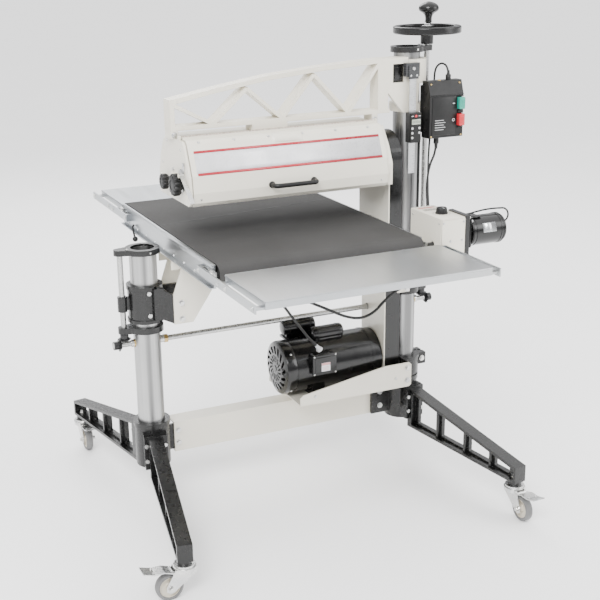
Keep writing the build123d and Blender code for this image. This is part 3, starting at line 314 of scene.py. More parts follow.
BRIGHT = finish("bright_zinc", (0.68, 0.68, 0.66), 0.26, (22, 4, (0.54, 0.55, 0.56), (0.72, 0.71, 0.68)),
                (90, 3, 0.2, 0.38), (380, 3, 0.12, 0.0004, 0.0006), metallic=1.0)
BRASS = finish("brass", (0.62, 0.44, 0.18), 0.3, (40, 3, (0.46, 0.31, 0.12), (0.68, 0.50, 0.22)),
               None, (500, 2, 0.1, 0.0003, 0.0006), metallic=1.0)
HINGE = finish("hinge_metal", (0.50, 0.42, 0.37), 0.42, (90, 4, (0.36, 0.29, 0.25), (0.60, 0.53, 0.47)),
               None, (300, 3, 0.2, 0.0004), metallic=0.85)
GLASS = finish("display_glass", (0.33, 0.37, 0.31), 0.12, (60, 2, (0.30, 0.34, 0.28), (0.36, 0.40, 0.33)),
               None, (30, 2, 0.02, 0.0002), coat=0.6)
TURNED_X, TURNED_Z = turned_steel("turned_steel_x", 0).mat, turned_steel("turned_steel_z", 2).mat
SHAFT = geared_steel("shaft_steel", 0, (0, 0, SHAFT_Z * MM)).mat
SCREW_LEFT = geared_steel("left_screw_steel", 2, ((MIDDLE - SCREW_X) * MM, 0, 0)).mat
SCREW_RIGHT = geared_steel("right_screw_steel", 2, ((MIDDLE + SCREW_X) * MM, 0, 0)).mat
ALUMINIUM = turned_steel("turned_aluminium", 0, ALUMINIUM_GREY).mat
SCALE = scale_metal().mat
COLUMN = column_steel().mat
FEED_BELT, GRIT = feed_abrasive().mat, grit_cloth().mat
DARK_RUBBER, TREAD = rubber("dark_rubber", 0.012), rubber("tread_rubber", 0.14)
LEAD_COVER = rubber("lead_cover", 0.006, 150)
RED_PAINT = plastic("red_stripe", (0.46, 0.022, 0.038), 0.3)
WHITE_PANEL = plastic("white_panel", (0.78, 0.78, 0.80), 0.3)
GREEN_PLASTIC = plastic("green_plastic", (0.015, 0.30, 0.22))
RED_PLASTIC = plastic("red_plastic", (0.56, 0.02, 0.03))
HUB_PLASTIC = plastic("hub_plastic", (0.60, 0.55, 0.45), 0.45)
PINK_PLASTIC = plastic("pale_red_print", (0.70, 0.36, 0.36), 0.4)
GREY_PLASTIC = plastic("grey_key", (0.55, 0.56, 0.56), 0.4)
INK = plastic("dark_print", (0.02, 0.02, 0.022), 0.5)

NODE_LOOKS = {
    COLUMN: ["columns"],
    BLACK_CAST: ["column_castings", "legs", "column_rings", "table_collars"],
    BRIGHT: ["stand_hardware", "table_hardware", "caster_fl", "caster_rl", "caster_fr", "caster_rr",
             "hood_latch"],
    SHAFT: ["cross_shaft"],
    TURNED_X: ["motor_rotor", "pressure_roller_front", "pressure_roller_rear"],
    SCREW_LEFT: ["screw_left"],
    SCREW_RIGHT: ["screw_right"],
    ALUMINIUM: ["drum"],
    SCALE: ["readout_scale"],
    ZINC: ["side_rails", "extension_tables", "bed_pan"],
    CREAM: ["bed_support", "hood_shell", "hood_lid", "hood_ends", "head_brackets", "guard_backplate",
            "control_box", "motor_tray", "cross_beam"],
    CREAM_CAST: ["truss_arm"],
    BLACK_ENAMEL: ["belt_guard", "motor_body", "motor_covers", "feed_gearmotor", "dust_port"],
    BLACK_PLASTIC: ["readout_reader", "switch_box", "lid_handle", "end_knobs", "speed_knob"],
    GLOSS_PLASTIC: ["handwheel", "crank_knob"],
    FEED_BELT: ["conveyor_belt"],
    GRIT: ["abrasive"],
    DARK_RUBBER: ["drive_belt", "drive_roller", "idler_roller"],
    TREAD: ["wheel_fl", "wheel_rl", "wheel_fr", "wheel_rr"],
    GREEN_PLASTIC: ["start_paddle"],
    RED_PLASTIC: ["stop_paddle"],
    LEAD_COVER: ["motor_lead", "box_lead", "inlet_lead", "feed_motor_lead"],
}


for node_look, node_names in NODE_LOOKS.items():
    for node_name in node_names:
        NODES[node_name].data.materials.clear()
        NODES[node_name].data.materials.append(node_look)


# ---------------------------------------------------------------- mesh helpers
def add(name, bm, look, body, smooth=35.0):
    """Makes an object from a bmesh and lets it ride on a CAD body, or on none if it is blended."""
    bmesh.ops.recalc_face_normals(bm, faces=bm.faces)
    mesh = bpy.data.meshes.new(name)
    bm.to_mesh(mesh)
    bm.free()
    mesh.shade_smooth()
    mesh.set_sharp_from_angle(angle=math.radians(smooth))
    mesh.materials.append(look)
    piece = bpy.data.objects.new(name, mesh)
    bpy.context.scene.collection.objects.link(piece)
    if body:
        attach(piece, body)
    return piece


def basis(axis):
    axis = Vector(axis).normalized()
    side = axis.orthogonal().normalized()
    return axis, side, axis.cross(side)


def skin(bm, rows, closed=False):
    """Quads between neighbouring rows of vertices; closed joins each row's end to its start."""
    for low, high in zip(rows[:-1], rows[1:]):
        for k in range(len(low) - (not closed)):
            n = (k + 1) % len(low)
            bm.faces.new((low[k], low[n], high[n], high[k]))


def lathe(bm, centre, axis, profile, steps=40, closed=False, wave=None):
    """Revolves (radius, height) points in mm; wave(angle) scales the radius, as on a fluted knob."""
    axis, side, other = basis(axis)
    rings = []
    for radius, height in profile:
        middle = centre + axis * height * MM
        if radius < 1e-6:
            rings.append([bm.verts.new(middle)])
            continue
        ring = []
        for k in range(steps):
            a = 2 * math.pi * k / steps
            reach = radius * MM * (wave(a) if wave else 1)
            ring.append(bm.verts.new(middle + (side * math.cos(a) + other * math.sin(a)) * reach))
        rings.append(ring)
    pairs = list(zip(rings[:-1], rings[1:])) + ([(rings[-1], rings[0])] if closed else [])
    for low, high in pairs:
        for k in range(steps):
            n = (k + 1) % steps
            if len(low) > 1 and len(high) > 1:
                bm.faces.new((low[k], low[n], high[n], high[k]))
            elif len(low) > 1:
                bm.faces.new((low[k], low[n], high[0]))
            elif len(high) > 1:
                bm.faces.new((low[0], high[n], high[k]))


def block(bm, low, high, radius=0.5, segments=2):
    """Box between two corners, with rounded edges; radius in mm."""
    corners = bmesh.ops.create_cube(bm, size=1)["verts"]
    size = [abs(b - a) for a, b in zip(low, high)]
    middle = (Vector(low) + Vector(high)) / 2
    for v in corners:
        v.co = Vector([c * s for c, s in zip(v.co, size)]) + middle
    edges = list(dict.fromkeys(e for v in corners for e in v.link_edges))
    if radius:
        bmesh.ops.bevel(bm, geom=edges, offset=radius * MM, segments=segments, profile=0.5, affect="EDGES")


def prism(bm, points, depth, radius=0.0):
    """Solid of a closed outline of 3-D points, pushed along the vector depth."""
    first = [bm.verts.new(p) for p in points]
    second = [bm.verts.new(p + depth) for p in points]
    faces = [bm.faces.new(first), bm.faces.new(second[::-1])]
    for i in range(len(points)):
        j = (i + 1) % len(points)
        faces.append(bm.faces.new((first[i], second[i], second[j], first[j])))
    if radius:
        edges = list(dict.fromkeys(e for f in faces for e in f.edges))
        bmesh.ops.bevel(bm, geom=edges, offset=radius * MM, segments=2, profile=0.5, affect="EDGES")


def tube(bm, points, radius, steps=12):
    """Round bar along a list of points; radius in mm."""
    rings = []
    for i, p in enumerate(points):
        ahead = points[min(i + 1, len(points) - 1)] - points[max(i - 1, 0)]
        axis = ahead.normalized()
        side = axis.orthogonal().normalized() if not rings else (side - axis * side.dot(axis)).normalized()
        other = axis.cross(side)
        rings.append([bm.verts.new(p + (side * math.cos(2 * math.pi * k / steps)
                                        + other * math.sin(2 * math.pi * k / steps)) * radius * MM)
                      for k in range(steps)])
    skin(bm, rings, closed=True)
    bm.faces.new(rings[0][::-1])
    bm.faces.new(rings[-1])


def pan_screw(bm, centre, axis, radius):
    """Domed head with a cross recess."""
    dome = [(1, 0), (1, 0.18), (0.86, 0.45), (0.55, 0.6), (0.3, 0.62), (0, 0.3)]
    lathe(bm, centre, axis, [(r * radius, h * radius) for r, h in dome], 20)


def socket_screw(bm, centre, axis, radius, height):
    """Cylinder head with a hexagon socket."""
    lathe(bm, centre, axis, [(radius, 0), (radius, height * 0.85), (radius * 0.88, height),
                             (radius * 0.55, height), (radius * 0.55, height * 0.4), (0, height * 0.4)], 24)


def hex_screw(bm, centre, axis, radius, height, washer=True):
    """Hexagon head on a washer."""
    if washer:
        lathe(bm, centre, axis,
              [(0, 0), (radius * 1.3, 0), (radius * 1.35, 0.6), (radius * 1.25, 1.4), (0, 1.4)], 28)
    lift = centre + Vector(axis).normalized() * 1.4 * MM
    lathe(bm, lift, axis, [(radius, 0), (radius, height * 0.82), (radius * 0.86, height), (0, height)], 6)


def face_of(node, start, towards):
    """First point of a CAD node met from start along towards, with the outward normal there."""
    hit, place, normal, _ = NODES[node].ray_cast(start, Vector(towards).normalized())
    if not hit:
        raise RuntimeError("no surface of " + node + " from " + str(start))
    return place, normal


def seat(bm, node, start, towards, head, *sizes):
    """Puts a screw head on a CAD node where a ray from start meets it."""
    head(bm, *face_of(node, start, towards), *sizes)


def screws(name, body, *groups):
    """One piece of plated screw heads; a group is a head's maker, its places in mm, axis and sizes."""
    bm = bmesh.new()
    for head, places, axis, *sizes in groups:
        for place in places:
            head(bm, at(*place), axis, *sizes)
    add(name, bm, BRIGHT, body)


def slabs(name, look, body, slot, *boxes, smooth=35.0):
    """One piece of rounded boxes; each has two corners in mm, then its edge radius and steps."""
    bm = bmesh.new()
    for low, high, *rounding in boxes:
        block(bm, at(*low), at(*high), *rounding)
    add(name, bm, look, body, smooth)


def outward(degrees):
    """Unit vector square to the x axis, turned from y towards z."""
    a = math.radians(degrees)
    return Vector((0, math.cos(a), math.sin(a)))


def thicken(piece, thickness):
    """Gives a single sheet its thickness, in metres, on its inner side."""
    solid = piece.modifiers.new("thick", "SOLIDIFY")
    solid.thickness = thickness
    solid.offset = -1


# ---------------------------------------------------------------- stand
def threads(name, x, low, high, body):
    """Square-topped helix just proud of a lifting screw."""
    pitch, steps = 3.2, 20
    bm = bmesh.new()
    section = [(SCREW_R - 0.3, -0.95), (SCREW_R + 0.45, -0.55), (SCREW_R + 0.45, 0.55), (SCREW_R - 0.3, 0.95)]
    rows = []
    for k in range(int((high - low) / pitch * steps) + 1):
        a = 2 * math.pi * k / steps
        z = low + pitch * k / steps
        rows.append([bm.verts.new(at(x + r * math.cos(a), r * math.sin(a), z + dz)) for r, dz in section])
    skin(bm, rows)
    add(name, bm, TURNED_Z, body, 60)


def ring_screws():
    """Set screws and cap screws of the column rings and of the table collars."""
    bm = bmesh.new()
    for side, top in ((-1, 813.0), (1, 1327.0)):
        for y in (-13, 13):
            socket_screw(bm, at(side * (COLUMN_X + 49), y, top), (0, 0, 1), 3.6, 2.6)
        for a in map(math.radians, (40, 160, 280)):
            out = Vector((math.cos(a), math.sin(a), 0))
            start = at(side * COLUMN_X, 0, top - 8) + out * 90 * MM
            seat(bm, "column_rings", start, -out, socket_screw, 3.0, 0.8)
    add("ring_screws", bm, BRIGHT, "frame")
    bm = bmesh.new()
    for side in (-1, 1):
        for z in (621, 687):
            seat(bm, "table_collars", at(side * COLUMN_X - 2, -120, z), (0, 1, 0), socket_screw, 6.5, 3.2)
    add("collar_screws", bm, BRIGHT, "table")


def caster_wheel(code):
    """Grey tyre on a pale hub with a ball-bearing bore, in place of the plain wheel."""
    joint = JOINTS["wheel_" + code + "_roll"]
    centre, axis = Vector(joint["pos_m"]), Vector(joint["axis"])
    tyre = [(38, -5.5), (37.9, 0), (38, 5.5), (36.8, 9), (34.5, 10.8), (31, 11), (29.2, 10.2), (28.4, 7),
            (28.4, -7), (29.2, -10.2), (31, -11), (34.5, -10.8), (36.8, -9)]
    bm = bmesh.new()
    lathe(bm, centre, axis, tyre, 72, closed=True)
    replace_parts(add("tyre_" + code, bm, TREAD, "wheel_" + code, 50), "wheel_" + code)
    rim = [(28.4, -8.8), (27.2, -9.6), (26.0, -8.8), (25.4, -6.4), (20, -4.2), (13, -4.2), (11.4, -6),
           (11, -12.6), (10.2, -13.5), (5.2, -13.5), (5.2, 13.5), (10.2, 13.5), (11, 12.6), (11.4, 6),
           (13, 4.2), (20, 4.2), (25.4, 6.4), (26.0, 8.8), (27.2, 9.6), (28.4, 8.8)]
    bm = bmesh.new()
    lathe(bm, centre, axis, rim, 72, closed=True)
    add("hub_" + code, bm, HUB_PLASTIC, "wheel_" + code, 30)


def caster_trim(code):
    """Ball race, axle nut and rivets of one caster."""
    swivel = Vector(JOINTS["caster_" + code + "_swivel"]["pos_m"])
    roll = JOINTS["wheel_" + code + "_roll"]
    axis = Vector(roll["axis"])
    bm = bmesh.new()
    race = Vector((swivel.x, swivel.y, 0))
    lathe(bm, race, (0, 0, 1),
          [(28.6, 88.4), (30.6, 89.2), (31.2, 90.4), (30.4, 90.9), (27, 90.9), (27, 88.4)], 56, closed=True)
    hub = Vector(roll["pos_m"])
    for hand in (-1, 1):
        hex_screw(bm, hub + axis * hand * 20 * MM, axis * hand, 6.2, 4.2, washer=False)
    trail = (hub - swivel) * Vector((1, 1, 0))
    trail.normalize()
    pedal = race + trail * 88 * MM + Vector((0, 0, 0.0937))
    for hand in (-1, 1):
        pan_screw(bm, pedal + axis * hand * 11 * MM, (0, 0, 1), 3.0)
    add("caster_trim_" + code, bm, BRIGHT, "caster_" + code)


def stand():
    threads("thread_left", -SCREW_X, 545, 795, "screw_left")
    threads("thread_right", SCREW_X, 545, 1308, "handwheel")
    ring_screws()
    for code in ("fl", "rl", "fr", "rr"):
        caster_wheel(code)
        caster_trim(code)


# ---------------------------------------------------------------- hand wheel and knobs
def crank_knob():
    """Mushroom knob, smooth turned."""
    centre = Vector(JOINTS["crank_knob_spin"]["pos_m"])
    centre.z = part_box("crank_knob")[0].z
    profile = [(5.2, 0), (10.4, 0), (11, 0.8), (10.2, 8), (10.4, 14), (12.6, 22), (18.5, 28.5), (26, 32.5),
               (29.8, 36), (31, 40.5), (30.4, 45.5), (27.4, 51), (21.5, 56), (13, 59.8), (5, 61.8), (0, 62.3)]
    bm = bmesh.new()
    lathe(bm, centre, (0, 0, 1), profile, 64)
    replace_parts(add("mushroom_knob", bm, GLOSS_PLASTIC, "crank_knob", 50), "crank_knob")


def wheel_hub():
    """Steel washer and socket screw on the hub of the hand wheel."""
    top = at(SCREW_X, 0, 1382)
    bm = bmesh.new()
    lathe(bm, top, (0, 0, 1), [(0, 0), (14, 0), (14.4, 0.6), (13.8, 1.6), (9, 1.6), (9, 6), (8, 7), (4.6, 7),
                               (4.6, 3), (0, 3)], 40)
    add("wheel_hub_screw", bm, BRIGHT, "handwheel")


def lobes(count, depth):
    """Flutes for lathe: the radius falls by depth between count lobes."""
    return lambda a: 1 - depth * (0.5 - 0.5 * math.cos(count * a)) ** 2


def end_knobs():
    """Two fluted knobs on the left end of the hood."""
    bm = bmesh.new()
    start = HOOD_X0 - 8
    shape = [(0.42, 0.0), (0.46, 0.16), (0.66, 0.22), (0.95, 0.26), (1.0, 0.34), (1.0, 0.82), (0.94, 0.93),
             (0.8, 0.98), (0.5, 1.0), (0.46, 0.94), (0.0, 0.94)]
    for y, z, radius, height in ((-90, 1001, 31, 30), (13, 992, 22, 26)):
        profile = [(r * radius, h * height) for r, h in shape]
        lathe(bm, at(start, y, z), (-1, 0, 0), profile, 144, wave=lobes(12, 0.13))
    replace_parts(add("fluted_knobs", bm, BLACK_PLASTIC, "frame", 32), "end_knobs")
    bm = bmesh.new()
    lathe(bm, at(start, -96, 1012), (-1, 0, 0),
          [(0, 0), (31.4, 0), (32, 0.4), (32, 1.0), (31.4, 1.4), (0, 1.4)], 64)
    lathe(bm, at(start, 13, 992), (-1, 0, 0),
          [(0, 0), (16.4, 0), (16.8, 0.6), (16.8, 2.2), (16, 2.8), (0, 2.8)], 48)
    add("adjuster_disc", bm, BRIGHT, "frame")


def speed_knob():
    """Ribbed dial with a pointer line."""
    joint = Vector(JOINTS["speed_knob_turn"]["pos_m"])
    centre = Vector((joint.x, joint.y, 0.90405))
    bm = bmesh.new()
    profile = [(0, 0), (17.8, 0), (17.8, 3.4), (15.6, 4.4), (14.9, 15.6), (13.6, 17.6), (0, 17.6)]
    lathe(bm, centre, (0, 0, 1), profile, 120, wave=lambda a: 1 - 0.035 * (0.5 + 0.5 * math.cos(20 * a)))
    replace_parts(add("feed_speed_knob", bm, BLACK_PLASTIC, "speed_knob", 32), "speed_knob")
    bm = bmesh.new()
    block(bm, centre + Vector((-0.0007, -0.0135, 0.0172)), centre + Vector((0.0007, -0.004, 0.0179)), 0.2)
    add("knob_pointer", bm, WHITE_PANEL, "speed_knob")


# ---------------------------------------------------------------- drum head
def lid_point(x, z):
    """Place and normal on the front of the hood lid."""
    return face_of("hood_lid", at(x, -320, z), (0, 1, 0))


def lid_band(name, x0, x1, levels, lift, look):
    """Thin sheet on the front of the lid, through the given heights."""
    bm = bmesh.new()
    rows = []
    for z in levels:
        place, normal = lid_point(0, z)
        out = place + normal * lift * MM
        rows.append([bm.verts.new(Vector((at(x, 0, 0).x, out.y, out.z))) for x in (x0, x1)])
    skin(bm, rows)
    thicken(add(name, bm, look, "hood_lid", 60), 0.3 * MM)


def hood_graphics():
    """Plain pale panel between two red lines; nothing is written on it."""
    x0, x1 = HOOD_X0 + 16, HOOD_X1 - 16
    lid_band("lid_panel", x0, x1, [1036, 1048, 1064, 1079, 1090], 0.35, WHITE_PANEL)
    lid_band("stripe_upper", x0, x1, [1089, 1095.5], 0.6, RED_PAINT)
    lid_band("stripe_lower", x0 + 2, x1, [1031.8, 1038.5], 0.6, RED_PAINT)


def lid_fittings():
    """Screws of the lid and the raised stiffener pressed into its top."""
    for name, places, z, size in (("lid_screws", (-288, -184, -80, 24, 128, 232), 1116, 4.2),
                                  ("lid_end_screws", (-302, 255), 968, 3.2)):
        bm = bmesh.new()
        for x in places:
            pan_screw(bm, *lid_point(x, z), size)
        add(name, bm, BRIGHT, "hood_lid")
    bm = bmesh.new()
    x0, x1 = -70.0, 22.0
    rows = []
    steps = 14
    for k in range(steps + 1):
        z = 1098 + 22 * k / steps
        place, normal = lid_point(0, z)
        swell = math.sin(math.pi * k / steps) ** 0.5 * 5.5
        row = []
        for i in range(25):
            u = i / 24
            end = min(1, 5 * u, 5 * (1 - u)) ** 0.6 if 0 < u < 1 else 0
            out = place + normal * swell * end * MM
            row.append(bm.verts.new(Vector((at(x0 + (x1 - x0) * u, 0, 0).x, out.y, out.z))))
        rows.append(row)
    skin(bm, rows)
    add("lid_stiffener", bm, CREAM, "hood_lid", 60)


def long_hinge():
    """Knuckles and leaf of the hinge along the top of the hood."""
    bm = bmesh.new()
    x, step = HOOD_X0 + 2, 9.9
    while x + step < HOOD_X1:
        lathe(bm, at(x, HINGE_Y, HINGE_Z), (1, 0, 0),
              [(3.0, 0), (3.6, 0.4), (3.6, step - 1), (3.0, step - 0.6)], 18)
        x += step
    block(bm, at(HOOD_X0 + 1, HINGE_Y + 4.5, 1124.2), at(HOOD_X1 - 1, HINGE_Y + 17, 1125.4), 0.3)
    add("long_hinge", bm, HINGE, "frame")
    places = [(HOOD_X0 + 26 + 50 * k, HINGE_Y + 11.5, 1125.4) for k in range(12)]
    screws("hinge_rivets", "frame", (pan_screw, places, (0, 0, 1), 2.4))


def bow_handle():
    """Round bar handle whose ends curve in to the lid."""
    feet = (-92.0, 37.0)
    reach = 27.0
    base, _ = lid_point(0, 989)
    points = []
    for foot, sign in ((feet[0], 1), (feet[1], -1)):
        arc = []
        for k in range(9):
            a = math.pi / 2 * k / 8
            arc.append(at(foot + sign * 12 * (1 - math.cos(a)), 0, 989)
                       + Vector((0, base.y - (reach - 12 + 12 * math.sin(a)) * MM, 0)))
        arc.insert(0, at(foot, 0, 989) + Vector((0, base.y, 0)))
        points += arc if sign > 0 else arc[::-1]
    bm = bmesh.new()
    tube(bm, points, 6.6, 20)
    for foot in feet:
        lathe(bm, at(foot, 0, 989) + Vector((0, base.y, 0)), (0, -1, 0),
              [(0, 0), (9.6, 0), (9.6, 2.4), (8.4, 4.6), (6.4, 7), (0, 7)], 28)
    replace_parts(add("bow_handle", bm, BLACK_PLASTIC, "hood_lid", 40), "lid_handle")


def latch_keeper():
    """Small keeper that the side latch hooks on."""
    bm = bmesh.new()
    place, _ = face_of("hood_ends", at(-400, -118, 1052), (1, 0, 0))
    block(bm, place + Vector((-0.004, -0.007, -0.011)), place + Vector((0.0, 0.005, 0.012)), 1.0)
    for z in (-7, 7):
        pan_screw(bm, place + Vector((-0.004, -0.001, z * MM)), (-1, 0, 0), 2.2)
    add("latch_keeper", bm, BRIGHT, "frame")


def end_screws():
    """Bolts that hold the left end plate and its bearing."""
    bm = bmesh.new()
    for y, z in ((-96, 1096), (18, 1108), (64, 1040), (84, 1000)):
        seat(bm, "hood_ends", at(-420, y, z), (1, 0, 0), pan_screw, 4.0)
    for a in (90, 210, 330):
        seat(bm, "hood_ends", at(-420, HEAD_Y, DRUM_Z) + outward(a) * 26 * MM, (1, 0, 0), hex_screw, 4.6, 3.4)
    add("end_screws", bm, BRIGHT, "frame")


def guard_trim():
    """Flange, screws and seam of the belt guard."""
    face = 353.0
    spots = ((-100, 940), (40, 940), (-101, 560), (22, 560), (-98, 330), (20, 330), (-90, 1050), (30, 1050))
    screws("guard_screws", "frame", (pan_screw, [(face, y, z) for y, z in spots], (1, 0, 0), 4.2))
    slabs("guard_seam", BLACK_ENAMEL, "frame", "gloss_black",
          *[((face, -112, z), (face + 0.9, 50, z + 2.4), 0.4) for z in (908, 916)])
    bm = bmesh.new()
    for cz, r in ((DRUM_Z, 56), (MOTOR_Z, 38)):
        lathe(bm, at(face, HEAD_Y, cz), (1, 0, 0),
              [(0, 1.6), (r - 5, 1.6), (r - 3, 1.2), (r - 1, 0.2), (r, 0)], 72)
    add("guard_boss", bm, BLACK_ENAMEL, "frame", 60)


def dust_port_trim():
    """Rolled bead at the mouth of the dust port and the screws of its flange."""
    axis = Vector((0, 50, 17)).normalized()
    base = at(-20, 92.5, 1035)
    bm = bmesh.new()
    turn = [2 * math.pi * k / 12 for k in range(12)]
    ring = [(50.6 + 1.6 * math.cos(a), 49.4 + 1.6 * math.sin(a)) for a in turn]
    lathe(bm, base, axis, ring, 72, closed=True)
    add("port_bead", bm, BLACK_ENAMEL, "frame", 60)
    side = Vector((1, 0, 0))
    up = axis.cross(side)
    bm = bmesh.new()
    for u, v in ((-61, -44), (61, -44), (-61, 44), (61, 44)):
        pan_screw(bm, base + (side * u + up * v + axis * 3) * MM, axis, 3.6)
    add("port_screws", bm, BRIGHT, "frame")


def truss_trim():
    """Clamp bolts of the arm's hub and of its rear strap."""
    bm = bmesh.new()
    for z in (1238, 1276, 1150):
        seat(bm, "truss_arm", at(COLUMN_X + 2, 200, z), (0, -1, 0), hex_screw, 8.5, 6.5)
    add("arm_bolts", bm, BRIGHT, "frame")
    slabs("arm_window_block", BLACK_CAST, "frame", "black_cast",
          ((350.3, -47, 1228.4), (388.7, -31.4, 1281.6), 1.5), ((358, -50, 1238), (381, -46, 1272), 2.0))


def drum_head():
    hood_graphics()
    lid_fittings()
    long_hinge()
    bow_handle()
    end_knobs()
    latch_keeper()
    end_screws()
    guard_trim()
    dust_port_trim()
    truss_trim()


# ---------------------------------------------------------------- switch box and readout
def switch_box():
    """Front plate, ribs, screws and plain marks of the switch enclosure."""
    x0, x1, front, z0, z1 = 452.0, 568.0, -98.0, 1060.0, 1228.0
    slabs("switch_plate", BLACK_PLASTIC, "frame", "black_plastic",
          ((x0 + 8, front - 1.6, z0 + 8), (541, front + 1, 1182), 1.2))
    ledges, ribs = ((1180, 1183), (1131, 1141), (1087, 1091)), (1080, 1112, 1150, 1192)
    slabs("switch_mould", GLOSS_PLASTIC, "frame", "gloss_black",
          ((x0 - 0.4, front - 2.2, 1184.5), (x1 + 0.4, front + 1, 1187.5), 0.8),
          *[((548, front - 3.2, low), (x1 - 1, front + 1, high), 0.9) for low, high in ledges],
          *[((x0 - 0.8, front + 16, z), (x0 + 1, front + 40, z + 2), 0.5) for z in ribs])
    bm = bmesh.new()
    for x, z in ((x0 + 6, z0 + 5), (x1 - 6, z0 + 5), (x0 + 9, z1 - 9), (x1 - 9, z1 - 9)):
        seat(bm, "switch_box", at(x, -200, z), (0, 1, 0), pan_screw, 2.8)
    pan_screw(bm, at(497, -73, z1), (0, 0, 1), 5.0)
    add("switch_screws", bm, BRASS, "frame")
    bm = bmesh.new()
    block(bm, at(530, front - 2.0, 1159.4), at(538, front - 1.5, 1161.6), 0.1)
    lathe(bm, at(534, front - 1.6, 1111.5), (0, -1, 0),
          [(4.4, 0), (4.4, 0.4), (3.2, 0.4), (3.2, 0)], 28, closed=True)
    add("switch_marks", bm, WHITE_PANEL, "frame")
    lines = [(1084 + 7 * k, 500 + 6 * (k % 2)) for k in range(5)]
    slabs("switch_print", GREY_PLASTIC, "frame", "cream_cast",
          *[((470, front - 2.1, z), (end, front - 1.5, z + 1.6), 0.1) for z, end in lines])


def paddles():
    for name, node, look, body, slot in (
            ("start_key", "start_paddle", GREEN_PLASTIC, "start_paddle", "green_plastic"),
            ("stop_key", "stop_paddle", RED_PLASTIC, "stop_paddle", "red_plastic")):
        low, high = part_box(node)
        bm = bmesh.new()
        block(bm, low, high, 2.4, 4)
        for k in range(4):
            z = low.z + (high.z - low.z) * (0.26 + 0.16 * k)
            block(bm, (low.x + 0.004, low.y - 0.0006, z - 0.0009),
                  (high.x - 0.004, low.y + 0.002, z + 0.0009), 0.5)
        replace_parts(add(name, bm, look, body, 40), node)


def readout():
    """Display, keys and marks of the reader, and the scale's graduations and screws."""
    face, cx = -92.0, 409.0
    slabs("display_bezel", GLOSS_PLASTIC, "table", "black_plastic",
          ((392.5, face - 1.0, 1104), (425.5, face + 1, 1124), 0.8))
    slabs("display_window", GLASS, "table", "black_plastic",
          ((394.5, face - 1.3, 1106.5), (423.5, face, 1121.5), 0.4))
    bm = bmesh.new()
    digit, gap = 3.8, 6.2           # width of a digit and the step to the next
    for k in range(4):
        x = cx + gap * (k - 1.5)
        for px, pz, wide in ((x, 1110.6, True), (x, 1117.0, True), (x - digit / 2, 1113.8, False),
                             (x + digit / 2, 1113.8, False)):
            w, h = (digit / 2, 0.35) if wide else (0.35, 2.9)
            block(bm, at(px - w, face - 1.55, pz - h), at(px + w, face - 1.25, pz + h), 0.0)
    add("display_digits", bm, INK, "table")
    bm = bmesh.new()
    for x, z in ((397, 1095), (421, 1095), (397, 1081), (421, 1081), (397, 1067)):
        lathe(bm, at(x, face, z), (0, -1, 0), [(3.6, 0), (3.6, 0.9), (3.0, 1.5), (0, 1.7)], 24)
    add("display_keys", bm, GREY_PLASTIC, "table")
    bm = bmesh.new()
    lathe(bm, at(cx, face, 1131), (0, -1, 0), [(4, 0), (4, 0.5), (3.2, 0.9), (0, 0.9)], 24)
    add("display_mark", bm, RED_PLASTIC, "table")
    slabs("display_prints", WHITE_PANEL, "table", "cream_cast",
          *[((x - 3.5, face - 0.35, 1130.2), (x + 3.5, face, 1131.8), 0.1) for x in (397, 421)])
    marks = [(960 + 5 * k, 9.0 if k % 5 == 0 else 5.5) for k in range(56)]
    slabs("scale_marks", INK, "frame", "black_plastic",
          *[((418.4 - reach, -72.15, z), (418.4, -71.95, z + 0.55), 0.0) for z, reach in marks])
    bm = bmesh.new()
    lathe(bm, at(407, -76, 1268), (0, -1, 0), [(0, 0), (5.2, 0), (5.2, 2), (4.4, 3.2), (0, 3.2)], 28)
    for x in (398, 418):
        pan_screw(bm, at(x, -76, 1248), (0, -1, 0), 3.4)
    add("scale_screws", bm, BRIGHT, "frame")


# ---------------------------------------------------------------- flexible leads
# The routes, in mm, from the exit to the far end.
MOTOR_LEAD = [(302, -336, 766), (302, -336, 730), (262, -337, 704), (213, -338, 689), (171, -340, 664),
              (138, -340, 632), (94, -340, 620), (44, -340, 634), (-10, -338, 664), (-66, -330, 692),
              (-112, -294, 718), (-126, -236, 708), (-98, -184, 670), (-58, -150, 628), (-24, -130, 584),
              (10, -118, 540), (40, -111, 500), (61, -109, 478.3), (80.2, -109, 452.7)]
BOX_LEAD = [(492, -73, 1048), (492, -73, 1014), (470, -74, 976), (461, -76, 920), (461, -82, 850),
            (454, -102, 784), (424, -136, 728), (382, -180, 708), (342, -199, 736), (320, -217, 776),
            (310, -245, 812), (310, -277, 812)]
INLET_LEAD = [(528, -73, 1236), (528, -73, 1264), (521, -48, 1278), (512, -26, 1262), (510, -23, 1224),
              (508, -25, 1156), (500, -27, 1080), (487, -40, 1012), (474, -60, 948), (470, -70, 884),
              (471, -79, 816), (462, -106, 748), (430, -144, 706), (388, -190, 690), (350, -212, 716),
              (330, -225, 758), (322, -247, 798), (322, -277, 798)]
FEED_MOTOR_LEAD = [(376, -399, 899), (398, -399, 899), (428, -397, 903), (458, -396, 905.5),
                   (484, -398, 906), (502, -401, 905.5), (515, -402, 905), (525.5, -403, 897.4),
                   (529.5, -404, 885), (525.5, -404, 872.6), (515, -403, 865), (502, -403, 865)]


def spline_object(name, route):
    """Curve object whose one NURBS spline has the route as its control points."""
    data = bpy.data.curves.new(name, "CURVE")
    data.dimensions = "3D"
    data.resolution_u = 16
    spline = data.splines.new("NURBS")
    spline.points.add(len(route) - 1)
    for point, place in zip(spline.points, route):
        point.co = (*at(*place), 1)
    spline.order_u = 3
    spline.use_endpoint_u = True
    return bpy.data.objects.new(name, data)


def spline_path(name, route):
    """Places along the NURBS spline of a route."""
    guide = spline_object(name + "_guide", route)
    mesh = bpy.data.meshes.new_from_object(guide)
    path = [v.co.copy() for v in mesh.vertices]
    bpy.data.meshes.remove(mesh)
    bpy.data.curves.remove(guide.data)
    return path


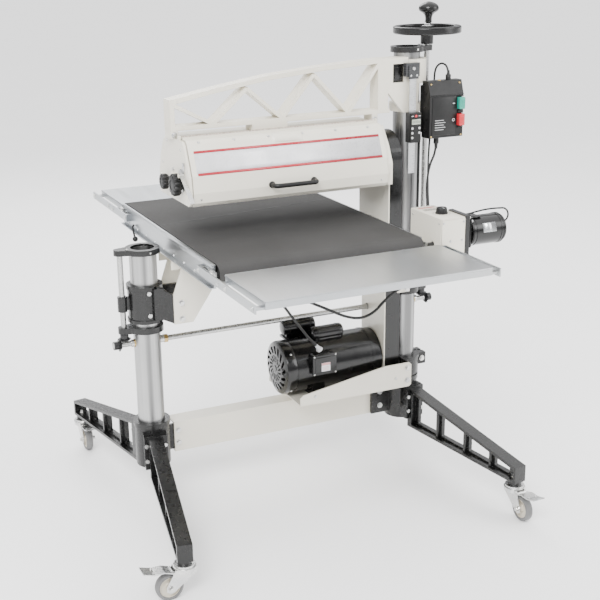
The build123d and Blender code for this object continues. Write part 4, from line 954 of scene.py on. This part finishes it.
def relief_piece(name, end, inward, body, radius, length, look=None, nut=0.0):
    """Tapered strain relief round a lead's end; inward points into the housing."""
    out = -Vector(inward).normalized()
    bm = bmesh.new()
    flange = radius * 2.1
    profile = [(radius * 0.98, -1), (flange, -1), (flange, 1.2), (flange * 0.92, 2.4), (radius * 1.75, 3)]
    rings = 6
    for k in range(rings):
        a, b = 3 + (length - 3) * (k + 0.15) / rings, 3 + (length - 3) * (k + 0.8) / rings
        wide = radius * (1.75 - 0.6 * k / rings)
        profile += [(wide, a), (wide * 0.985, b), (wide * 0.9, b + 0.3)]
    profile += [(radius * 1.06, length), (radius * 0.98, length)]
    lathe(bm, end, out, profile, 28, closed=True)
    if nut:
        lathe(bm, end, out, [(radius, 0), (nut, 0), (nut, 6.5), (nut * 0.86, 8), (radius, 8)], 6, closed=True)
    return add(name, bm, look or DARK_RUBBER, body, 40)


def blended_lead(name, route, diameter):
    """Lead that hangs between the frame and the lifting table."""
    path = spline_path(name, route)
    bm = bmesh.new()
    tube(bm, path, diameter / 2, 16)
    piece = add(name + "_cover", bm, LEAD_COVER, None, 60)
    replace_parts(piece, name)
    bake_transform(piece)


def leads():
    blended_lead("motor_lead", MOTOR_LEAD, 8.0)
    blended_lead("box_lead", BOX_LEAD, 7.0)
    blended_lead("inlet_lead", INLET_LEAD, 6.0)
    piece = spline_object("feed_motor_lead_cover", FEED_MOTOR_LEAD)
    piece.data.bevel_depth = 2.5 * MM
    piece.data.bevel_resolution = 5
    piece.data.use_fill_caps = True
    piece.data.materials.append(LEAD_COVER)
    bpy.context.scene.collection.objects.link(piece)
    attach(piece, "table")
    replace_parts(piece, "feed_motor_lead")
    relief_piece("motor_lead_relief", at(302, -336, 766), (0, 0, 1), "table", 4.0, 24)
    relief_piece("motor_lead_gland", at(80.2, -109, 452.7), (0.6, 0, -0.8), "frame", 4.0, 22, WHITE_PANEL, 10)
    relief_piece("box_lead_relief", at(492, -73, 1048), (0, 0, 1), "frame", 3.5, 24, None, 8.5)
    relief_piece("box_lead_end", at(310, -277, 812), (0, -1, 0), "table", 3.5, 20)
    relief_piece("inlet_lead_relief", at(528, -73, 1236), (0, 0, -1), "frame", 3.0, 20, None, 8.5)
    relief_piece("inlet_lead_end", at(322, -277, 798), (0, -1, 0), "table", 3.0, 20)
    relief_piece("feed_lead_relief", at(376, -399, 899), (-1, 0, 0), "table", 2.5, 14)
    relief_piece("feed_lead_end", at(502, -403, 865), (-1, 0, 0), "table", 2.5, 12)


# ---------------------------------------------------------------- main motor
def end_ribs(bm, centre, count, inner, outer, width, shift=0.0):
    """Flat wedge ribs on the x end of a motor; shift moves them sideways, in parts of their width."""
    for k in range(count):
        out, across = outward(360 / count * k), outward(360 / count * k + 90) * width * MM
        foot, far = (centre + out * reach * MM - across * shift for reach in (inner, outer))
        prism(bm, [foot, far, far + Vector((0.8 * MM, 0, 0)), foot + Vector((2.2 * MM, 0, 0))], across)


def swirl_grid(bm, centre, axis, radii, height, teeth, bands, thick):
    """Domed disc with curved slots; height(radius) gives the dome, bands the slotted rings."""
    axis, side, other = basis(axis)
    steps = teeth * 6
    rings = []
    for r in radii:
        ring = []
        for k in range(steps):
            a = 2 * math.pi * k / steps + 0.012 * r
            out = side * math.cos(a) + other * math.sin(a)
            ring.append(bm.verts.new(centre + (axis * height(r) + out * r) * MM))
        rings.append(ring)
    hub = bm.verts.new(centre + axis * height(0) * MM)
    for k in range(steps):
        bm.faces.new((hub, rings[0][k], rings[0][(k + 1) % steps]))
    for i in range(len(radii) - 1):
        middle = (radii[i] + radii[i + 1]) / 2
        slotted = any(low < middle < high for low, high in bands)
        for k in range(steps):
            if slotted and k % 6 in (1, 2, 3):
                continue
            n = (k + 1) % steps
            bm.faces.new((rings[i][k], rings[i][n], rings[i + 1][n], rings[i + 1][k]))
    bmesh.ops.recalc_face_normals(bm, faces=bm.faces)
    bmesh.ops.solidify(bm, geom=bm.faces[:], thickness=thick * MM)


def fan_cover():
    """Domed cover with curved air slots at the fan end of the motor."""
    bm = bmesh.new()
    dome = lambda r: 39.5 - 9.0 * (r / 82.0) ** 4
    radii = [9, 18, 20, 28, 36, 40, 43, 47, 56, 64, 68, 72, 77, 80.5]
    swirl_grid(bm, at(5, HEAD_Y, MOTOR_Z), (-1, 0, 0), radii, dome, 16, ((20, 40), (47, 68)), 1.6)
    rim = [(80.3, dome(80.5)), (82.6, 28), (83.4, 24), (83.4, 1.5), (82.8, 0), (81, 0), (81, 24), (79.4, 28)]
    lathe(bm, at(5, HEAD_Y, MOTOR_Z), (-1, 0, 0), rim, 96, closed=True)
    lathe(bm, at(5, HEAD_Y, MOTOR_Z), (-1, 0, 0), [(0, 39.4), (10, 39.4), (9, 41), (0, 41)], 32)
    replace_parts(add("slotted_fan_cover", bm, BLACK_ENAMEL, "frame", 40), "motor_covers")
    bm = bmesh.new()
    for out in map(outward, (45, 135, 225, 315)):
        pan_screw(bm, at(-8, HEAD_Y, MOTOR_Z) + out * 83.4 * MM, out, 3.4)
    add("fan_cover_screws", bm, BRIGHT, "frame")


def capacitor_cover(bm, x0, x1, y, z, r):
    """Half-round can with rounded ends, raised bands and feet on the motor."""
    length = x1 - x0
    half = [(0, 0), (r * 0.6, 0.4), (r * 0.86, 2.4), (r * 0.97, 6), (r, 10), (r, 16), (r + 0.9, 17),
            (r + 0.9, 20), (r, 21)]
    profile = half + [(radius, length - height) for radius, height in reversed(half)]
    lathe(bm, at(x0, y, z), (1, 0, 0), profile, 56)
    low = y - r * 0.86
    block(bm, at(x0 + 8, low, 452), at(x1 - 8, low + r * 1.72, z), 3.0, 3)
    for x in (x0 + 9, x1 - 9):
        block(bm, at(x - 6, low - 3, 452), at(x + 6, low + r * 1.72 + 3, 460), 1.5)


def motor_top():
    """Covers of the two capacitors and the connection box with its lid and blank plate."""
    bm = bmesh.new()
    capacitor_cover(bm, 18, 128, 36, 488, 24)
    capacitor_cover(bm, 84, 190, -36, 480, 22)
    add("capacitor_cases", bm, BLACK_ENAMEL, "frame", 40)
    slabs("connection_box", BLACK_ENAMEL, "frame", "black_cast", ((50, -121, 380), (126, -86, 442), 4.0, 3),
          ((48, -128, 378), (128, -119, 444), 3.0, 3), ((56, -129.2, 386), (120, -126, 436), 2.0, 3),
          smooth=40)
    corners = [(x, -128, z) for z in (382.5, 439.5) for x in (52.5, 123.5)]
    screws("connection_screws", "frame", (pan_screw, corners, (0, -1, 0), 2.6))
    slabs("blank_plate", WHITE_PANEL, "frame", "cream_cast", ((76, -129.6, 390), (105, -129.1, 417), 0.15))
    slabs("blank_plate_bands", PINK_PLASTIC, "frame", "red_plastic",
          ((76.5, -129.8, 409), (104.5, -129.5, 416.5), 0.1),
          *[((79, -129.8, z), (101, -129.5, z + 1.2), 0.1) for z in (394, 398.4, 402.8)])


def motor_trim():
    """End rings, ribs, through bolts and feet bolts of the motor body."""
    centre = lambda x: at(x, HEAD_Y, MOTOR_Z)
    bm = bmesh.new()
    for x in (7, 262):
        ring = [(MOTOR_R - 0.6, 0), (MOTOR_R + 0.9, 0.5), (MOTOR_R + 0.9, 7.5), (MOTOR_R - 0.6, 8)]
        lathe(bm, centre(x), (1, 0, 0), ring, 96, closed=True)
    end_ribs(bm, centre(296), 10, 40, 76, 4)
    add("motor_rings", bm, BLACK_ENAMEL, "frame", 40)
    bm = bmesh.new()
    for out in map(outward, (45, 135, 225, 315)):
        hex_screw(bm, centre(296) + out * 66 * MM, (1, 0, 0), 5, 4, washer=False)
    for x in (80, 210):
        for y in (HEAD_Y - 52, HEAD_Y + 52):
            hex_screw(bm, at(x, y, 296), (0, 0, -1), 6, 4.5)
    add("motor_bolts", bm, BRIGHT, "frame")


# ---------------------------------------------------------------- speed control and feed motor
def control_trim():
    """Covers, screws, scale round the dial and plain marks of the speed control."""
    x0, x1, y0, y1, z0, z1 = 286.0, 362.0, -443.0, -277.0, 766.0, 904.0
    plate = 0.6                     # thickness of the top plate
    top = z1 + plate
    slabs("control_cover", CREAM, "table", "cream_cast",
          ((x0 + 1, y0 - 0.9, z0 + 3), (x1 - 1, y0 + 1, z1 - 3), 1.6),
          ((x0 + 2, y0 + 3, z1 - 0.5), (x1 - 2, y1 - 3, top), 0.2))
    front = ((292, 893), (315, 841), (351, 841), (356, 893), (292, 776), (356, 776))
    screws("control_screws", "table",
           (pan_screw, [(x, y0 - 0.9, z) for x, z in front], (0, -1, 0), 3.4),
           (pan_screw, [(x0, y, z) for y in (-292, -430) for z in (780, 890)], (-1, 0, 0), 3.0),
           (pan_screw, [(x, y1, z) for x, z in ((294, 890), (354, 890), (354, 776))], (0, 1, 0), 3.0))
    bm = bmesh.new()
    for k in range(21):
        a = math.radians(-240 + 15 * k)
        out = Vector((math.cos(a), math.sin(a), 0))
        near, far = (21.5, 26.5) if k % 5 == 0 else (22.5, 25)
        middle = at(326, -377, top)
        across = Vector((-out.y, out.x, 0)) * 0.4 * MM
        corners = [middle + out * near * MM - across, middle + out * far * MM - across,
                   middle + out * far * MM + across, middle + out * near * MM + across]
        prism(bm, corners, Vector((0, 0, 0.25 * MM)))
    for k in range(4):
        block(bm, at(300, -318 - 5 * k, top), at(346 - 6 * (k % 2), -316.4 - 5 * k, top + 0.3), 0.05)
    add("control_scale", bm, INK, "table")
    slabs("control_band", RED_PAINT, "table", "red_plastic", ((298, -302, top), (350, -296, top + 0.35), 0.1))


def curved_patch(bm, centre, axis, radius, middle, spread, low, high):
    """Strip of a cylinder's skin between two angles, in degrees, and two heights."""
    axis, side, other = basis(axis)
    rows = []
    for k in range(13):
        a = math.radians(middle - spread + 2 * spread * k / 12)
        out = side * math.cos(a) + other * math.sin(a)
        rows.append([bm.verts.new(centre + (out * radius + axis * h) * MM) for h in (low, high)])
    skin(bm, rows)


def feed_motor_trim():
    """Rings, ribs, bolts and blank plate of the feed motor and its gear case."""
    y, z = FEED_Y, FEED_Z
    bm = bmesh.new()
    for x in (394, 404, 484, 492):
        lathe(bm, at(x, y, z), (1, 0, 0), [(41.5, 0), (43, 0.4), (43, 2.4), (41.5, 2.8)], 72, closed=True)
    end_ribs(bm, at(502, y, z), 12, 12, 36, 3.2, 0.5)
    lathe(bm, at(502, y, z), (1, 0, 0), [(0, 0), (11, 0), (11, 2.6), (9.5, 3.4), (0, 3.4)], 40)
    block(bm, at(392, -421, 893), at(430, -377, 893.2), 0.1)
    for x, half in ((376, 34), (381, 32), (386, 31)):
        block(bm, at(x, y - half - 1.5, z - 40), at(x + 3.4, y + half + 1.5, z + 40), 1.2)
    add("feed_motor_rings", bm, BLACK_ENAMEL, "table", 40)
    screws("feed_motor_screws", "table",
           (socket_screw, [(392, y + dy, z + dz) for dy in (-27, 27) for dz in (-34, 34)], (1, 0, 0), 4, 4),
           (socket_screw, [(376, y + dy, high) for high in (784, 900) for dy in (-38, 38)], (1, 0, 0), 4, 4))
    bm = bmesh.new()
    _, side, other = basis((1, 0, 0))
    facing = Vector((0, -1, 0.35))
    front = math.degrees(math.atan2(facing.dot(other), facing.dot(side)))
    curved_patch(bm, at(0, y, z), (1, 0, 0), 42.5, front, 18, 424, 466)
    thicken(add("feed_motor_plate", bm, ALUMINIUM, "table"), 0.4 * MM)


# ---------------------------------------------------------------- conveyor and tables
def conveyor_trim():
    """Belt joint, screws and tension hardware along both rails, and the bushes of the rollers."""
    bm = bmesh.new()
    z = BELT_TOP + 0.05
    prism(bm, [at(-353, 60, z), at(-353, 63, z), at(242, 153, z), at(242, 150, z)], Vector((0, 0, 0.35 * MM)))
    add("belt_joint", bm, DARK_RUBBER, "table")
    bm = bmesh.new()
    for k in range(9):
        y = -340 + 85 * k
        pan_screw(bm, at(-362, y, 800), (-1, 0, 0), 3.6)
        pan_screw(bm, at(251, y, 800), (1, 0, 0), 3.6)
    for f in (-1, 1):
        for x, s in ((-371, -1), (260, 1)):
            lathe(bm, at(x, f * ROLLER_Y, ROLLER_Z), (s, 0, 0),
                  [(7.2, 0), (11.5, 0), (11.5, 2.2), (10.5, 3), (7.2, 3)], 36, closed=True)
        for y in (330, 470, 520, 690):
            hex_screw(bm, at(-378, f * y, 823), (-1, 0, 0), 5.2, 3.0)
        for y in (470, 520, 690):
            hex_screw(bm, at(298, f * y, 823), (1, 0, 0), 5.2, 3.0)
        for x in (-367, 256):
            hex_screw(bm, at(x, f * 337, ROLLER_Z), (0, -f, 0), 5.4, 4.4)
    add("rail_screws", bm, BRIGHT, "table")
    bm = bmesh.new()
    for x0, x1 in ((-364.4, -361.6), (250.6, 253.4)):
        block(bm, at(x0, -392, 838), at(x1, 392, 849.5), 0.8)
        for f in (-1, 1):
            low, high = sorted((f * 352, f * 372))
            block(bm, at(x0 - 2.0, low, 806), at(x1 + 2.0, high, 838), 1.0)
    add("rail_strips", bm, ZINC, "table")


def table_trim():
    """Rolled edges and corner folds of the two extension tables."""
    bm = bmesh.new()
    for f in (-1, 1):
        for y in (450.5, 702):
            points = [at(-349 + 623 * k / 6, f * y, 835.6) for k in range(7)]
            tube(bm, points, 2.6, 14)
        for x in (-349.2, 273.2):
            tube(bm, [at(x, f * (451 + 251 * k / 4), 835.6) for k in range(5)], 2.4, 14)
    add("table_edges", bm, ZINC, "table", 60)
    slabs("table_ribs", ZINC, "table", "zinc_sheet",
          *[((x - 8, low, 831.5), (x + 8, low + 243, 836.2), 0.8) for low in (-698, 455)
            for x in (-200, -38, 124)])


def hand_lever():
    """Small ball-ended lever under the left rail."""
    bm = bmesh.new()
    tube(bm, [at(-366, 281, 809), at(-372, 276, 803), at(-373, 262, 787), at(-373, 252, 775)], 3.2, 16)
    ball = at(-373, 250, 772)
    lathe(bm, ball, (0, 0.56, 0.83), [(8.5 * math.sin(math.pi * k / 12), -8.5 * math.cos(math.pi * k / 12))
                                      for k in range(13)], 28)
    add("tension_lever", bm, BLACK_PLASTIC, "table", 60)


def shaft_bushes():
    """Round and hexagon bushes on the cross shaft on either side of each column."""
    bm = bmesh.new()
    for side in (-1, 1):
        x = side * 465.5
        lathe(bm, at(x - 4, 0, SHAFT_Z), (1, 0, 0),
              [(8.1, 0), (11.5, 0), (12, 0.6), (12, 7.4), (11.5, 8), (8.1, 8)], 40, closed=True)
    add("brass_bushes", bm, BRASS, "frame")
    bm = bmesh.new()
    for side in (-1, 1):
        x = side * 372
        lathe(bm, at(x - 6, 0, SHAFT_Z), (1, 0, 0),
              [(8.1, 0), (12.5, 0), (13.5, 1), (13.5, 11), (12.5, 12), (8.1, 12)], 6, closed=True)
    add("hex_bushes", bm, BRASS, "frame")


def head_trim():
    """Bolts of the head brackets, screws along the rear of the hood and lip strip of the lid."""
    bm = bmesh.new()
    for x, z in ((-334.5, 1131), (290, 1126)):
        hex_screw(bm, at(x, -55, z), (0, -1, 0), 6.2, 5)
        hex_screw(bm, at(x, -5, z), (0, 1, 0), 6.2, 5)
    for x in (-290, -180, -70, 40, 150, 255):
        for z in (958, 1112):
            seat(bm, "hood_shell", at(x, 300, z), (0, -1, 0), pan_screw, 3.6)
    add("head_screws", bm, BRIGHT, "frame")
    slabs("lip_strip", BRIGHT, "hood_lid", "zinc_sheet",
          ((HOOD_X0 + 4, -147, 948.5), (HOOD_X1 - 4, -140, 951.5), 0.6))


def tray_trim():
    """Screws of the motor tray and of the beam."""
    screws("tray_screws", "frame",
           (pan_screw, ((47, -145, 320), (325, -145, 330)), (0, -1, 0), 5.0),
           (pan_screw, [(x, 91, 312) for x in (20, 180, 320)], (0, 1, 0), 4.2),
           (hex_screw, [(x, 57, 254) for x in (-300, 0, 300)], (0, 1, 0), 3.0, 2.0, False))


# ---------------------------------------------------------------- floor, light and camera
def floor():
    """Plain pale ground."""
    bm = bmesh.new()
    reach = 60.0
    corners = ((-reach, -reach), (reach, -reach), (reach, reach), (-reach, reach))
    bm.faces.new([bm.verts.new((x, y, 0)) for x, y in corners])
    mesh = bpy.data.meshes.new("floor")
    bm.to_mesh(mesh)
    bm.free()
    look = Look("pale_floor", (0.93, 0.93, 0.93), 0.6)
    look.colour(look.ramp(look.noise(1.5, 3), [(0.3, 0.925), (0.7, 0.94)]))
    mesh.materials.append(look.mat)
    piece = bpy.data.objects.new("floor", mesh)
    bpy.context.scene.collection.objects.link(piece)


def area_light(name, place, target, size, power):
    data = bpy.data.lights.new(name, "AREA")
    data.shape, data.size, data.energy = "DISK", size, power
    lamp = bpy.data.objects.new(name, data)
    lamp.location = place
    lamp.rotation_euler = (Vector(target) - Vector(place)).to_track_quat("-Z", "Y").to_euler()
    bpy.context.scene.collection.objects.link(lamp)


def lights():
    """Sky that is white overhead and dim above the horizon, and three soft lamps."""
    world = bpy.data.worlds.new("studio")
    world.use_nodes = True
    tree = world.node_tree
    split = tree.nodes.new("ShaderNodeSeparateXYZ")
    tree.links.new(tree.nodes.new("ShaderNodeTexCoord").outputs["Generated"], split.inputs[0])
    sky = tree.nodes.new("ShaderNodeValToRGB")
    sky.color_ramp.elements[0].color = (0.33, 0.33, 0.33, 1)
    sky.color_ramp.elements[1].position = 0.75
    sky.color_ramp.elements.new(0.14).color = (0.17, 0.17, 0.18, 1)
    tree.links.new(split.outputs["Z"], sky.inputs["Fac"])
    tree.links.new(sky.outputs["Color"], tree.nodes["Background"].inputs["Color"])
    tree.nodes["Background"].inputs["Strength"].default_value = 2.6
    bpy.context.scene.world = world
    middle = (0, 0, 0.7)
    area_light("key", (-2.6, -3.4, 4.2), middle, 2.6, 390)
    area_light("fill", (3.6, -2.6, 2.4), middle, 3.0, 130)
    area_light("back", (0.5, 3.6, 3.6), middle, 3.0, 150)


def camera():
    """The photograph's view: heading, tilt and roll in degrees, eye in metres, lens in mm."""
    heading, tilt, roll = map(math.radians, (-22.87, 18.05, -1.262))
    eye = Vector((-1.302, -2.952, 1.622))
    right = Vector((math.cos(heading), math.sin(heading), 0))
    back = Vector((math.sin(heading) * math.cos(tilt), -math.cos(heading) * math.cos(tilt), math.sin(tilt)))
    up = back.cross(right)
    right, up = right * math.cos(roll) + up * math.sin(roll), up * math.cos(roll) - right * math.sin(roll)
    data = bpy.data.cameras.new("photo_camera")
    data.sensor_width = 36.0
    data.lens = 66.7
    data.shift_x, data.shift_y = 0.0652, 0.0125
    data.clip_end = 200
    view = bpy.data.objects.new("photo_camera", data)
    view.matrix_world = Matrix.Translation(eye) @ Matrix((right, up, back)).transposed().to_4x4()
    bpy.context.scene.collection.objects.link(view)
    bpy.context.scene.camera = view


for build in (camera, leads, stand, crank_knob, wheel_hub, speed_knob, drum_head, head_trim, switch_box,
              paddles, readout, fan_cover, motor_top, motor_trim, tray_trim, control_trim,
              feed_motor_trim, conveyor_trim, table_trim, hand_lever, shaft_bushes, floor, lights):
    build()
